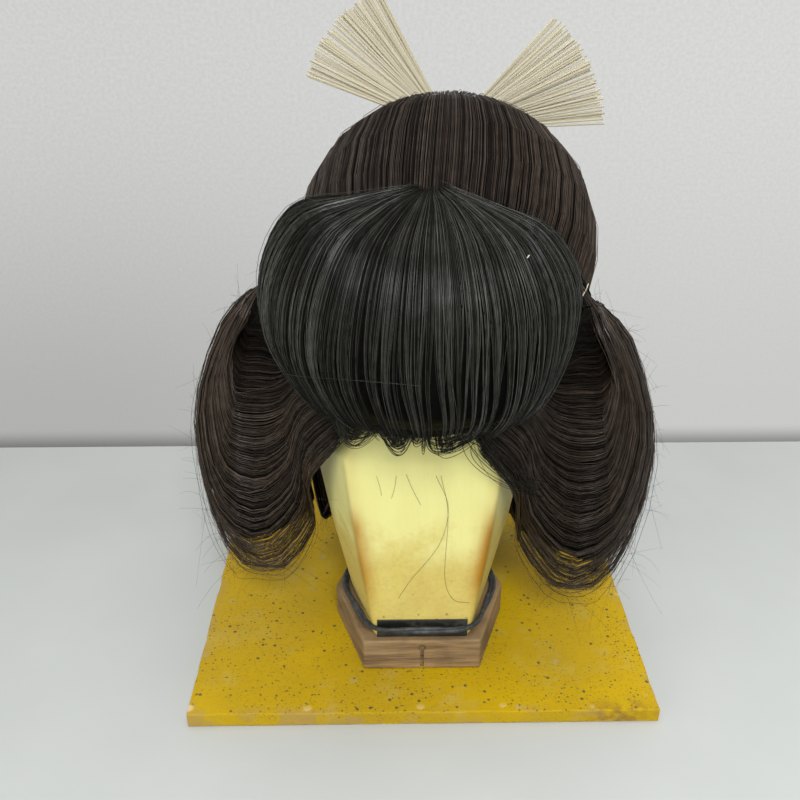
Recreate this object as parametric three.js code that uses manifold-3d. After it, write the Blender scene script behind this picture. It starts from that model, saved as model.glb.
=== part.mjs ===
// Traditional Japanese wig with a forelock, wide drooping side wings and a knot
// with two splayed paper-cord fans, standing on its wooden stand.
// Millimetres, +Z up, the face side looks along -Y.
// The origin is the centre of the board's underside.

import * as THREE from 'three';
import { ConvexGeometry } from 'three/addons/geometries/ConvexGeometry.js';
import { mergeVertices } from 'three/addons/utils/BufferGeometryUtils.js';
import Module from 'manifold-3d';

const wasm = await Module();
wasm.setup();

// Driving dimensions: stand

const SEAT_GAP = 0.3;

const BOARD = { width: 303, depth: 303, thickness: 10 };

const STAND_Y = -52.5; // the foot and the post stand forward of the board's centre
const FOOT = { front: 78, widest: 120, halfDepth: 60, height: 24 };
const FOOT_SLOT = { width: 2.4, depth: 3, holeRadius: 2.6, holeDrop: 6 };

// Six-sided sections of the post from the foot up to the seat inside the wig.
// frontY and backY are measured from the stand's middle.
const POST_SECTIONS = [
  { rise: 0, front: 63, widest: 97, frontY: -55, backY: 55 },
  { rise: 60, front: 79, widest: 123, frontY: -56, backY: 55 },
  { rise: 135, front: 96, widest: 148, frontY: -56, backY: 55 },
  { rise: 168, front: 72, widest: 132, frontY: -46, backY: 58 },
];
const POST_TOP = { front: 40, widest: 70, frontY: -11, backY: 65 };

const LABEL = { width: 60, height: 14, thickness: 0.8 };

const LOOP = { radius: 2.1, ledge: 7, frontLift: 6, steps: 40, sides: 6 };

// Driving dimensions: wig

const WIG_PLACE = { x: 0, y: -40, turnDeg: -7 };

const HEAD = { x: 0, y: 14, z: 195, halfWidth: 79, halfLength: 97, height: 112 };
const CAP_WALL = 6;
const DOME = { x: 11, y: 62, z: 263, halfWidth: 100, halfLength: 95, height: 101 };
const KNOT_TILT_DEG = 42; // the crown's strands meet at a pole this far above level, at the back

// Rim of the crown: angle from the face pole, at each angle round the knot axis from the forehead.
const CROWN_RIM = [
  { around: 0, rim: 43 },
  { around: 60, rim: 52 },
  { around: 100, rim: 63 },
  { around: 140, rim: 79 },
  { around: 180, rim: 85 },
];
const CROWN_LOCKS = { count: 26, depth: 1.6 };

const HAIR_WALL = 4;

// Forelock: strands leave the tie on top, fan out, swell over the brow and roll under.
// reach is the distance from the tie's upright axis, turn the bearing of the outermost strand,
// droop how much lower the +X edge lies than the other one, and lean a shift of the whole row along X.
const FORELOCK_TIE = { x: 6, y: -22, centredAt: 80 };
const FORELOCK_ROOT = { halfWidth: 7, y: 14, z: 316 };
const FORELOCK_STATIONS = [
  { reachFront: 12, reachSide: 14, turn: 104, zFront: 323.5, zSide: 322.5, droop: 0, lean: 0 },
  { reachFront: 32, reachSide: 44, turn: 101, zFront: 319, zSide: 317, droop: 5, lean: 0 },
  { reachFront: 59, reachSide: 76, turn: 98, zFront: 304, zSide: 311, droop: 10, lean: 0 },
  { reachFront: 78, reachSide: 95, turn: 94, zFront: 274, zSide: 283, droop: 8, lean: 0 },
  { reachFront: 87, reachSide: 95, turn: 88, zFront: 242, zSide: 250, droop: 3, lean: 0 },
  { reachFront: 88, reachSide: 82, turn: 78, zFront: 219, zSide: 219, droop: 0, lean: 4 },
  { reachFront: 83, reachSide: 73, turn: 65, zFront: 206, zSide: 203, droop: 0, lean: 6 },
  { reachFront: 75, reachSide: 69, turn: 55, zFront: 199, zSide: 195, droop: 0, lean: 5 },
  { reachFront: 67, reachSide: 63, turn: 50, zFront: 200, zSide: 196, droop: 0, lean: 5 },
  { reachFront: 61, reachSide: 56, turn: 47, zFront: 208, zSide: 206, droop: 0, lean: 4 },
];
const FORELOCK_LOCKS = { count: 17, depth: 2.2 };

// Side wing: each strand leaves the hairline under the forelock's corner, runs down and round the low rim
// and up to the tie behind the forelock.
// pocket is the shortest strand and rim the longest one. Where sag is above 1 the strands between
// them lie closer to the pocket's height, and below 1 closer to the rim's. swell does the same along X.
const WING_STATIONS = [
  { pocket: [64, -50, 249], rim: [40, -80, 190], sag: 1, swell: 0.8 },
  { pocket: [71, -46, 248], rim: [64, -66, 152], sag: 1.15, swell: 2 },
  { pocket: [87, -32, 248], rim: [71, -58, 93], sag: 1.25, swell: 2 },
  { pocket: [94, -24, 249], rim: [106, -57, 49], sag: 1.4, swell: 0.7 },
  { pocket: [97, -18, 249], rim: [139, -51, 84], sag: 1.2, swell: 0.7 },
  { pocket: [98, -13, 250], rim: [154, -30, 154], sag: 1.1, swell: 0.7 },
  { pocket: [98, -8, 251], rim: [134, -18, 222], sag: 1, swell: 0.7 },
  { pocket: [99, -3, 252], rim: [104, -2, 254], sag: 1, swell: 0.7 },
  { pocket: [86, 36, 276], rim: [84, 46, 274], sag: 1, swell: 0.7 },
];
const WING_ROLL = { from: 0.8, depth: 28 };
// The rising strands lap forward over the pocket in a lip, with a hollow behind the lip's inner edge.
const WING_LIP = { forward: 8, inward: 9, back: 10, edge: 0.38, softness: 0.09 };
const WING_LIP_RISE = { from: 0.42, full: 0.6, fade: 0.74, end: 0.88 };
const WING_LOCKS = { count: 6, depth: 1.8 };

// Nape hair: strands come from under the crown at the back, hang in a lobe and roll under.
const NAPE_STATIONS = [
  { middle: [0, 132, 292], side: [70, 84, 262] },
  { middle: [0, 140, 240], side: [92, 72, 222] },
  { middle: [0, 136, 180], side: [95, 62, 178] },
  { middle: [0, 146, 122], side: [93, 58, 128] },
  { middle: [0, 140, 70], side: [88, 54, 74] },
  { middle: [0, 112, 42], side: [80, 46, 46] },
  { middle: [0, 90, 54], side: [70, 42, 58] },
  { middle: [0, 80, 98], side: [62, 44, 94] },
];
const NAPE_LOCKS = { count: 13, depth: 1.8 };

const BUN = { halfLength: 34, lobeRadius: 14.5, waistRadius: 10, rise: 10 };
const PAPER_TIE = { halfWidth: 4, wall: 2.2 };

// Paper-cord fans: spread of each one, measured from +X towards +Z in the upright plane of the knot.
const FANS = [
  { name: 'paper_fan_left', side: -1, from: 119, to: 161, fromLength: 111, toLength: 116 },
  { name: 'paper_fan_right', side: 1, from: 4, to: 48, fromLength: 113, toLength: 106 },
];
const FAN_APEX = { x: 7, z: 322 };
const FAN_STRIP = { count: 13, rootWidth: 2.4, tipWidth: 4.2, thickness: 2.2, start: 3 };
const FAN_ROOT = { radius: 9, thickness: 5, sides: 14 };

// Materials

function finish(color, roughness) {
  return new THREE.MeshStandardMaterial({ color, roughness, metalness: 0 });
}

const HAIR = finish(0x1e1918, 0.42);
const PAPER = finish(0xd9cdae, 0.8);
const YELLOW_PAINT = finish(0xd9d38a, 0.5);
const BOARD_PAINT = finish(0xb98f16, 0.45);
const BARE_WOOD = finish(0x7d5f47, 0.75);
const RUBBER = finish(0x4b5357, 0.6);
const DARK_CARD = finish(0x1d1f1c, 0.5);

// Small maths

const lerp = THREE.MathUtils.lerp;
const smoothstep = THREE.MathUtils.smoothstep;
const rad = THREE.MathUtils.degToRad;

function mixPoints(a, b, t) {
  return new THREE.Vector3(lerp(a[0], b[0], t), lerp(a[1], b[1], t), lerp(a[2], b[2], t));
}

// Smooth curve through points, with even steps between them.
function through(points) {
  return new THREE.CatmullRomCurve3(points, false, 'catmullrom', 0.5);
}

// Rounded locks side by side: zero on each crest and -depth in each groove.
function lockRelief(across, locks) {
  return -locks.depth * (1 - Math.abs(Math.sin(Math.PI * locks.count * across)));
}

// Solids

function toSolid(geometry) {
  const bare = geometry.clone();
  bare.deleteAttribute('normal');
  bare.deleteAttribute('uv');
  const merged = mergeVertices(bare, 1e-3);
  return new wasm.Manifold(new wasm.Mesh({
    numProp: 3,
    vertProperties: new Float32Array(merged.attributes.position.array),
    triVerts: new Uint32Array(merged.index.array),
  }));
}

function toGeometry(solid) {
  const mesh = solid.getMesh();
  const geometry = new THREE.BufferGeometry();
  geometry.setAttribute('position', new THREE.BufferAttribute(mesh.vertProperties, 3));
  geometry.setIndex(new THREE.BufferAttribute(mesh.triVerts, 1));
  geometry.computeVertexNormals();
  return geometry;
}

// The largest body of a solid that a cut has left in pieces.
function mainBody(solid) {
  return solid.decompose().sort((a, b) => b.volume() - a.volume())[0];
}

function signedVolume(points, triangles) {
  const normal = new THREE.Vector3();
  let sum = 0;
  for (const [a, b, c] of triangles) {
    sum += points[a].dot(normal.crossVectors(points[b], points[c]));
  }
  return sum;
}

function facetedSolid(points, triangles) {
  const outward = signedVolume(points, triangles) > 0;
  const geometry = new THREE.BufferGeometry().setFromPoints(points);
  geometry.setIndex(triangles.flatMap(([a, b, c]) => (outward ? [a, b, c] : [a, c, b])));
  return toSolid(geometry);
}

// Closed wall between two grids of points with equal rows and columns.
// A ring grid joins its last column to its first, and a capped one ends in a single top point.
function wallSolid(outer, inner, { ring = false, capped = false } = {}) {
  const rows = outer.length;
  const columns = outer[0].length;
  const points = [...outer.flat(), ...inner.flat()];
  const triangles = [];
  const at = (layer, row, column) => layer * rows * columns + row * columns + (column % columns);
  const quad = (a, b, c, d) => triangles.push([a, b, c], [a, c, d]);
  const spans = ring ? columns : columns - 1;
  for (let column = 0; column < spans; column++) {
    for (let row = 0; row < rows - 1; row++) {
      const [near, far] = [column, column + 1];
      quad(at(0, row, near), at(0, row, far), at(0, row + 1, far), at(0, row + 1, near));
      quad(at(1, row, near), at(1, row + 1, near), at(1, row + 1, far), at(1, row, far));
    }
    quad(at(0, 0, column), at(1, 0, column), at(1, 0, column + 1), at(0, 0, column + 1));
    const [last, next] = [rows - 1, column + 1];
    if (!capped) quad(at(0, last, column), at(0, last, next), at(1, last, next), at(1, last, column));
  }
  if (!ring) {
    const end = columns - 1;
    for (let row = 0; row < rows - 1; row++) {
      quad(at(0, row, 0), at(0, row + 1, 0), at(1, row + 1, 0), at(1, row, 0));
      quad(at(0, row, end), at(1, row, end), at(1, row + 1, end), at(0, row + 1, end));
    }
  }
  const whole = triangles.filter(([a, b, c]) =>
    [[a, b], [b, c], [c, a]].every(([p, q]) => points[p].distanceTo(points[q]) > 1e-3));
  return facetedSolid(points, whole);
}

// The same wall joined from its cells, so that a sheet folded back tightly never cuts into itself.
function cellWall(outer, inner) {
  const cells = [];
  for (let row = 0; row < outer.length - 1; row++) {
    for (let column = 0; column < outer[0].length - 1; column++) {
      const corners = [outer, inner].flatMap((grid) => [
        grid[row][column], grid[row][column + 1], grid[row + 1][column], grid[row + 1][column + 1],
      ]);
      cells.push(toSolid(new ConvexGeometry(corners)));
    }
  }
  return cells.reduce((whole, cell) => whole.add(cell));
}

// Grid of points on a surface given by across (columns) and along (rows), each from 0 to 1.
function surfaceGrid(surface, columns, rows) {
  return Array.from({ length: rows + 1 }, (_, row) =>
    Array.from({ length: columns + 1 }, (_, column) => surface(column / columns, row / rows)));
}

function surfaceNormal(surface, across, along) {
  const step = 0.004;
  const clamp = THREE.MathUtils.clamp;
  const sides = [-step, step].map((d) => surface(clamp(across + d, 0, 1), along));
  const ends = [-step, step].map((d) => surface(across, clamp(along + d, 0, 1)));
  return sides[1].sub(sides[0]).cross(ends[1].sub(ends[0])).normalize();
}

// A combed hair wall: the surface carries locks outside, and the inside stays smooth.
// side is 1 or -1, whichever turns the surface's normal outwards, and grow fattens the wall.
function hairWall(surface, { columns, rows, locks, side, grow = 0, join = wallSolid }) {
  const offset = (distance) => (across, along) => {
    const normal = surfaceNormal(surface, across, along);
    return surface(across, along).addScaledVector(normal, side * distance(across, along));
  };
  const comb = (across, along) =>
    grow + lockRelief(across, locks) * smoothstep(along, 0, 0.25) * smoothstep(1 - along, 0, 0.15);
  const outer = surfaceGrid(offset(comb), columns, rows);
  const inner = surfaceGrid(offset(() => -HAIR_WALL - grow), columns, rows);
  return join(outer, inner);
}

// Crown

const knotAxis = new THREE.Vector3(0, Math.cos(rad(KNOT_TILT_DEG)), Math.sin(rad(KNOT_TILT_DEG)));
const crownUp = new THREE.Vector3(0, -knotAxis.z, knotAxis.y);
const headCentre = new THREE.Vector3(HEAD.x, HEAD.y, HEAD.z);

// Direction from the head's middle: around turns about the knot axis from the forehead,
// and fromFace grows from the face pole to the knot pole. Both are in degrees.
function crownDirection(around, fromFace) {
  const sideways = new THREE.Vector3(Math.sin(rad(around)), 0, 0);
  const radial = sideways.addScaledVector(crownUp, Math.cos(rad(around)));
  return radial.multiplyScalar(Math.sin(rad(fromFace))).addScaledVector(knotAxis, -Math.cos(rad(fromFace)));
}

// Distance along a direction from the head's middle to an ellipsoid.
function reachTo(form, direction, grow) {
  const radii = new THREE.Vector3(form.halfWidth + grow, form.halfLength + grow, form.height + grow);
  const start = new THREE.Vector3(HEAD.x - form.x, HEAD.y - form.y, HEAD.z - form.z).divide(radii);
  const ray = direction.clone().divide(radii);
  const half = start.dot(ray);
  return (-half + Math.sqrt(half * half - ray.lengthSq() * (start.lengthSq() - 1))) / ray.lengthSq();
}

function crownRim(around) {
  const next = CROWN_RIM.findIndex((row) => row.around >= Math.abs(around));
  const high = CROWN_RIM[Math.max(next, 1)];
  const low = CROWN_RIM[Math.max(next, 1) - 1];
  return lerp(low.rim, high.rim, smoothstep(Math.abs(around), low.around, high.around));
}

function crownOuter(around, fromFace, grow = 0) {
  const direction = crownDirection(around, fromFace);
  const cap = reachTo(HEAD, direction, CAP_WALL + grow);
  const dome = reachTo(DOME, direction, grow);
  return direction.multiplyScalar(Math.max(cap, dome)).add(headCentre);
}

function headInner(around, fromFace) {
  const direction = crownDirection(around, fromFace);
  return direction.clone().multiplyScalar(reachTo(HEAD, direction, 0)).add(headCentre);
}

const CROWN_GRID = { columns: 52, rows: 12 };

function crownGrid(point) {
  return Array.from({ length: CROWN_GRID.rows + 1 }, (_, row) =>
    Array.from({ length: CROWN_GRID.columns }, (_, column) => {
      const around = lerp(-180, 180, column / CROWN_GRID.columns);
      return point(around, lerp(crownRim(around), 180, row / CROWN_GRID.rows));
    }));
}

function crownWall(grow) {
  const combed = (around, fromFace) => {
    const relief = lockRelief(around / 360, CROWN_LOCKS) * Math.sin(rad(fromFace));
    return crownOuter(around, fromFace, grow + relief);
  };
  return wallSolid(crownGrid(combed), crownGrid(headInner), { ring: true, capped: true });
}

// The crown with its hollow filled and a seat's clearance added: what its neighbours are cut by.
function crownClearance() {
  const centre = Array.from({ length: CROWN_GRID.rows + 1 }, () =>
    Array.from({ length: CROWN_GRID.columns }, () => headCentre.clone()));
  const grown = crownGrid((around, fromFace) => crownOuter(around, fromFace, SEAT_GAP));
  return wallSolid(grown, centre, { ring: true, capped: true });
}

// Forelock

function forelockPoint(across, station) {
  const spread = 2 * across - 1;
  const share = spread * spread;
  const reach = lerp(station.reachFront, station.reachSide, share);
  const bearing = rad(spread * station.turn);
  const shift = FORELOCK_TIE.x * (1 - smoothstep(reach, 0, FORELOCK_TIE.centredAt));
  const x = shift + station.lean + reach * Math.sin(bearing);
  const droop = spread > 0 ? station.droop * share : 0;
  const z = lerp(station.zFront, station.zSide, share) - droop;
  return new THREE.Vector3(x, FORELOCK_TIE.y - reach * Math.cos(bearing), z);
}

function forelockSurface(across, along) {
  const rootX = FORELOCK_TIE.x + (2 * across - 1) * FORELOCK_ROOT.halfWidth;
  const root = new THREE.Vector3(rootX, FORELOCK_ROOT.y, FORELOCK_ROOT.z);
  const stations = FORELOCK_STATIONS.map((station) => forelockPoint(across, station));
  return through([root, ...stations]).getPoint(along);
}

function forelockWall() {
  return hairWall(forelockSurface, { columns: 34, rows: 14, locks: FORELOCK_LOCKS, side: -1 });
}

// Smooth wall a seat's clearance larger than the forelock all round: what the side wings are cut by.
// Past the forelock's free end it carries on in a straight line.
function forelockClearance() {
  const margin = 0.005;
  const wider = (column, row) => {
    const across = lerp(-margin, 1 + margin, column);
    const along = (1 + margin) * row;
    if (along <= 1) return forelockSurface(across, along);
    const end = forelockSurface(across, 1);
    const step = end.clone().sub(forelockSurface(across, 1 - margin));
    return end.addScaledVector(step, (along - 1) / margin);
  };
  const smooth = { count: FORELOCK_LOCKS.count, depth: 0 };
  return hairWall(wider, { columns: 34, rows: 14, locks: smooth, side: -1, grow: SEAT_GAP, join: cellWall });
}

// Side wings

// How far the lip moves a point of the wing: inwards, and backwards from the front.
function lipShift(across, along) {
  const { edge, softness } = WING_LIP;
  const { from, full, fade, end } = WING_LIP_RISE;
  const rising = smoothstep(along, from, full) * (1 - smoothstep(along, fade, end));
  const onLip = smoothstep(across, edge - softness, edge + softness);
  const lap = rising * onLip * smoothstep(1 - across, 0, 0.4);
  const hollow = rising * (1 - onLip) * smoothstep(across, 0, 0.2);
  return { inward: WING_LIP.inward * lap, back: WING_LIP.back * hollow - WING_LIP.forward * lap };
}

function wingSurface(hand) {
  return (across, along) => {
    const roll = WING_ROLL.depth * smoothstep(across, WING_ROLL.from, 1);
    const last = WING_STATIONS.length - 1;
    const points = WING_STATIONS.map(({ pocket, rim, sag, swell }, index) => {
      const point = mixPoints(pocket, rim, across);
      point.x = hand * lerp(pocket[0], rim[0], across ** swell);
      point.z = lerp(pocket[2], rim[2], across ** sag);
      point.y += index > 1 && index < last - 1 ? roll : 0;
      return point;
    });
    const { inward, back } = lipShift(across, along);
    return through(points).getPoint(along).add(new THREE.Vector3(-hand * inward, back, 0));
  };
}

function wingWall(hand) {
  const grid = { columns: 12, rows: 17 };
  return hairWall(wingSurface(hand), { ...grid, locks: WING_LOCKS, side: hand, join: cellWall });
}

// Nape hair

function napeSurface(across, along) {
  const spread = 2 * across - 1;
  const quarter = rad(90) * Math.abs(spread);
  const points = NAPE_STATIONS.map(({ middle, side }) => new THREE.Vector3(
    Math.sign(spread) * side[0] * Math.sin(quarter),
    lerp(side[1], middle[1], Math.cos(quarter)),
    lerp(side[2], middle[2], Math.cos(quarter)),
  ));
  return through(points).getPoint(along);
}

function napeWall() {
  return hairWall(napeSurface, { columns: 26, rows: 12, locks: NAPE_LOCKS, side: -1 });
}

// Knot, tie and fans

function knotPole() {
  return crownOuter(0, 180).addScaledVector(knotAxis, BUN.rise);
}

// Radius of the bun at a place along its length, with a waist under the tie.
function bunRadius(place) {
  const end = Math.sqrt(Math.max(0, 1 - place * place));
  const waist = BUN.lobeRadius - BUN.waistRadius;
  return BUN.lobeRadius * end - waist * Math.exp(-((place / 0.22) ** 2));
}

function lathedAlongX(profile, segments) {
  const geometry = new THREE.LatheGeometry(profile, segments);
  geometry.rotateZ(-Math.PI / 2);
  const pole = knotPole();
  geometry.translate(pole.x, pole.y, pole.z);
  return toSolid(geometry);
}

function bunSolid() {
  const steps = 14;
  const profile = Array.from({ length: steps + 1 }, (_, step) => {
    const place = lerp(-1, 1, step / steps);
    return new THREE.Vector2(bunRadius(place), place * BUN.halfLength);
  });
  return lathedAlongX(profile, 14);
}

const tieInner = bunRadius(PAPER_TIE.halfWidth / BUN.halfLength) + SEAT_GAP;
const tieOuter = tieInner + PAPER_TIE.wall;

function paperTieSolid() {
  const w = PAPER_TIE.halfWidth;
  const section = [[tieInner, -w], [tieOuter, -w], [tieOuter, w], [tieInner, w], [tieInner, -w]];
  return lathedAlongX(section.map(([r, y]) => new THREE.Vector2(r, y)), 16);
}

function fanStrip(length) {
  const { rootWidth, tipWidth, thickness, start } = FAN_STRIP;
  const outline = new THREE.Shape();
  outline.moveTo(start, -rootWidth / 2);
  outline.lineTo(length, -tipWidth / 2);
  outline.lineTo(length, tipWidth / 2);
  outline.lineTo(start, rootWidth / 2);
  const strip = new THREE.ExtrudeGeometry(outline, { depth: thickness, bevelEnabled: false });
  return strip.translate(0, 0, -thickness / 2);
}

// Stiff paper cords bound at their root and splayed in one plane.
function fanSolid(fan) {
  const { radius, thickness, sides } = FAN_ROOT;
  const root = new THREE.CylinderGeometry(radius, radius, thickness, sides);
  const farHalf = new THREE.BoxGeometry(2 * radius, 3 * radius, 2 * thickness);
  farHalf.translate(-fan.side * (radius - SEAT_GAP), 0, 0);
  let solid = toSolid(root.rotateX(Math.PI / 2)).subtract(toSolid(farHalf));
  for (let index = 0; index < FAN_STRIP.count; index++) {
    const share = index / (FAN_STRIP.count - 1);
    const strip = fanStrip(lerp(fan.fromLength, fan.toLength, share));
    strip.rotateZ(rad(lerp(fan.from, fan.to, share)));
    solid = solid.add(toSolid(strip));
  }
  return solid;
}

// Stand

// Six-sided ring in plan: flat front and back, widest halfway.
function hexagon(front, widest, frontY, backY, z) {
  const middleY = (frontY + backY) / 2;
  return [
    [front / 2, frontY], [widest / 2, middleY], [front / 2, backY],
    [-front / 2, backY], [-widest / 2, middleY], [-front / 2, frontY],
  ].map(([x, y]) => new THREE.Vector3(x, y, z));
}

// Solid through stacked rings of equal point count.
function stackedSolid(rings) {
  const count = rings[0].length;
  const points = rings.flat();
  const triangles = [];
  for (let ring = 0; ring < rings.length - 1; ring++) {
    for (let index = 0; index < count; index++) {
      const [a, b] = [ring * count + index, ring * count + ((index + 1) % count)];
      triangles.push([a, b, b + count], [a, b + count, a + count]);
    }
  }
  const top = (rings.length - 1) * count;
  for (let index = 1; index < count - 1; index++) {
    triangles.push([0, index + 1, index], [top, top + index, top + index + 1]);
  }
  return facetedSolid(points, triangles);
}

const footTop = BOARD.thickness + SEAT_GAP + FOOT.height;
const postBottom = footTop + SEAT_GAP;

function footSolid() {
  const ring = (z) => hexagon(FOOT.front, FOOT.widest, -FOOT.halfDepth, FOOT.halfDepth, z);
  const block = stackedSolid([ring(BOARD.thickness + SEAT_GAP), ring(footTop)]);
  const { width, depth, holeRadius, holeDrop } = FOOT_SLOT;
  const slot = new THREE.BoxGeometry(width, 2 * depth, 2 * FOOT.height);
  const slotTop = footTop - holeDrop;
  slot.translate(0, -FOOT.halfDepth, slotTop - FOOT.height);
  const hole = new THREE.CylinderGeometry(holeRadius, holeRadius, 2 * depth, 12);
  hole.translate(0, -FOOT.halfDepth, slotTop);
  return block.subtract(toSolid(slot)).subtract(toSolid(hole));
}

// Height of the wig's hollow above a point of the stand.
function hollowRoof(x, y) {
  const place = new THREE.Vector3(x - WIG_PLACE.x, STAND_Y + y - WIG_PLACE.y, 0);
  place.applyAxisAngle(new THREE.Vector3(0, 0, 1), -rad(WIG_PLACE.turnDeg));
  const flat = ((place.x - HEAD.x) / HEAD.halfWidth) ** 2 + ((place.y - HEAD.y) / HEAD.halfLength) ** 2;
  return HEAD.z + HEAD.height * Math.sqrt(1 - flat);
}

function postSolid() {
  const rings = POST_SECTIONS.map(({ rise, front, widest, frontY, backY }) =>
    hexagon(front, widest, frontY, backY, postBottom + rise));
  const seat = hexagon(POST_TOP.front, POST_TOP.widest, POST_TOP.frontY, POST_TOP.backY, 0);
  const seatHeight = Math.min(...seat.map(({ x, y }) => hollowRoof(x, y))) - 2 * SEAT_GAP;
  seat.forEach((corner) => corner.setZ(seatHeight));
  return stackedSolid([...rings, seat]);
}

// Blank label against the foot of the post's front face, which slopes less than a seat gap over its height.
function labelGeometry() {
  const [bottom, next] = POST_SECTIONS;
  const face = lerp(bottom.frontY, next.frontY, LABEL.height / next.rise) - SEAT_GAP;
  const plate = new THREE.BoxGeometry(LABEL.width, LABEL.thickness, LABEL.height);
  return plate.translate(0, face - LABEL.thickness / 2, postBottom + SEAT_GAP + LABEL.height / 2);
}

// Rubber loop lying on the foot's ledge round the post, a little way up its front and across the label.
function loopGeometry() {
  const [bottom] = POST_SECTIONS;
  const front = bottom.frontY - LABEL.thickness - LOOP.radius - 4 * SEAT_GAP;
  const back = bottom.backY + LOOP.ledge;
  const ring = hexagon(bottom.front + LOOP.ledge, bottom.widest + 2 * LOOP.ledge, front, back, 0);
  const rest = footTop + LOOP.radius + SEAT_GAP;
  const flat = new THREE.CatmullRomCurve3(ring, true, 'centripetal').getSpacedPoints(LOOP.steps).slice(1);
  flat.forEach((point) => point.setZ(rest + LOOP.frontLift * smoothstep(-point.y, 0, -front)));
  const route = new THREE.CatmullRomCurve3(flat, true);
  return new THREE.TubeGeometry(route, LOOP.steps, LOOP.radius, LOOP.sides, true);
}

// Assembly

function piece(name, solid, material) {
  const mesh = new THREE.Mesh(solid.isBufferGeometry ? solid : toGeometry(solid), material);
  mesh.name = name;
  return mesh;
}

function makeStand() {
  const stand = new THREE.Group();
  const board = new THREE.BoxGeometry(BOARD.width, BOARD.depth, BOARD.thickness);
  board.translate(0, 0, BOARD.thickness / 2);
  const upright = new THREE.Group();
  upright.position.y = STAND_Y;
  upright.add(piece('foot', footSolid(), BARE_WOOD));
  upright.add(piece('post', postSolid(), YELLOW_PAINT));
  upright.add(piece('label', labelGeometry(), DARK_CARD));
  upright.add(piece('rubber_loop', loopGeometry(), RUBBER));
  stand.add(piece('board', board, BOARD_PAINT), upright);
  return stand;
}

function makeFans() {
  const fans = new THREE.Group();
  const behindTie = knotPole().y + tieOuter + SEAT_GAP + FAN_ROOT.thickness / 2;
  fans.position.set(FAN_APEX.x, behindTie, FAN_APEX.z);
  fans.rotation.x = Math.PI / 2;
  FANS.forEach((fan) => fans.add(piece(fan.name, fanSolid(fan), PAPER)));
  return fans;
}

function makeWig() {
  const wig = new THREE.Group();
  wig.position.set(WIG_PLACE.x, WIG_PLACE.y, 0);
  wig.rotation.z = rad(WIG_PLACE.turnDeg);
  const clearance = crownClearance();
  const forelockRoom = forelockClearance();
  const bun = mainBody(bunSolid().subtract(clearance));
  wig.add(piece('crown', crownWall(0), HAIR));
  wig.add(piece('forelock', mainBody(forelockWall().subtract(clearance)), HAIR));
  for (const [name, hand] of [['side_wing_left', -1], ['side_wing_right', 1]]) {
    const wing = wingWall(hand).subtract(clearance).subtract(forelockRoom);
    wig.add(piece(name, mainBody(wing), HAIR));
  }
  wig.add(piece('nape_hair', mainBody(napeWall().subtract(clearance)), HAIR));
  wig.add(piece('knot', bun, HAIR));
  wig.add(piece('paper_tie', mainBody(paperTieSolid().subtract(clearance)), PAPER));
  wig.add(makeFans());
  return wig;
}

const wigOnStand = new THREE.Group();
wigOnStand.add(makeStand(), makeWig());

export default wigOnStand;
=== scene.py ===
import math
import bmesh
import bpy
import numpy as np
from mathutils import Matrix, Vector, noise


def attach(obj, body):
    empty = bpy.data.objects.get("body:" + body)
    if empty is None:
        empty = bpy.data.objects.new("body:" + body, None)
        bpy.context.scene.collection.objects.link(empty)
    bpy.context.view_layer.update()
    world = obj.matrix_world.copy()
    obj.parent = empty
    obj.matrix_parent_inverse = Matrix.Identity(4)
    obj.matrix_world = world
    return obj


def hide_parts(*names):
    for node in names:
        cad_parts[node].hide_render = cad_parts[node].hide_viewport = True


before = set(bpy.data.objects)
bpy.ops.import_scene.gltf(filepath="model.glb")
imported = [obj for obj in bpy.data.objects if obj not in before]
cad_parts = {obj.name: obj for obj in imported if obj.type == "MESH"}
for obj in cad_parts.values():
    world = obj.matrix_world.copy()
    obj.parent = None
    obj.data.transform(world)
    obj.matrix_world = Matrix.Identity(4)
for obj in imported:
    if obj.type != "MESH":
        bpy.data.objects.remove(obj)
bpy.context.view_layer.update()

# Lengths below are millimetres. The wig has a frame of its own, turned a little on the stand.
mm = 0.001
collection = bpy.context.scene.collection

wigPlace = {"x": 0.0, "y": -40.0, "turn": -7.0}
standY = -52.5
seatGap = 0.3


def onBoard(points):  # wig millimetres to metres on the board
    turn = math.radians(wigPlace["turn"])
    c, s = math.cos(turn), math.sin(turn)
    x, y, z = points[..., 0], points[..., 1], points[..., 2]
    return np.stack([c * x - s * y + wigPlace["x"], s * x + c * y + wigPlace["y"], z], -1) * mm


def onStand(points):  # stand millimetres to metres on the board
    return (points + np.array([0.0, standY, 0.0])) * mm


def lerp(a, b, t):
    return a + (b - a) * t


def smooth(x, low, high):
    t = np.clip((x - low) / (high - low), 0, 1)
    return t * t * (3 - 2 * t)


def unit(vectors):
    return vectors / np.maximum(np.linalg.norm(vectors, axis=-1, keepdims=True), 1e-9)


# Camera and lights
photoView = {"place": (-0.022, -0.574, 0.447), "pitchDown": 26.8, "turn": -0.89,
             "lens": 40.5, "sensor": 36.0, "nearest": 0.01}


def addCamera(view):
    data = bpy.data.cameras.new("photoCamera")
    data.lens = view["lens"]
    data.sensor_width = view["sensor"]
    data.clip_start = view["nearest"]
    camera = bpy.data.objects.new("photoCamera", data)
    camera.location = view["place"]
    camera.rotation_euler = (math.radians(90 - view["pitchDown"]), 0, math.radians(view["turn"]))
    collection.objects.link(camera)
    bpy.context.scene.camera = camera


studio = {
    "ceiling": {"place": (0.15, -0.1, 2.3), "size": 1.7, "watts": 25, "color": (1.0, 0.98, 0.95)},
    "front": {"place": (0.12, -1.7, 1.75), "size": 0.8, "watts": 38, "color": (0.97, 0.99, 1.0)},
    "left": {"place": (-1.2, -1.3, 0.5), "size": 1.0, "watts": 8, "color": (1.0, 0.98, 0.94)},
}
lampAim = (0, 0, 0.2)  # metres, as the places of the camera and the lamps
ambient = {"color": (1.0, 0.995, 0.98), "strength": 0.36}


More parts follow.
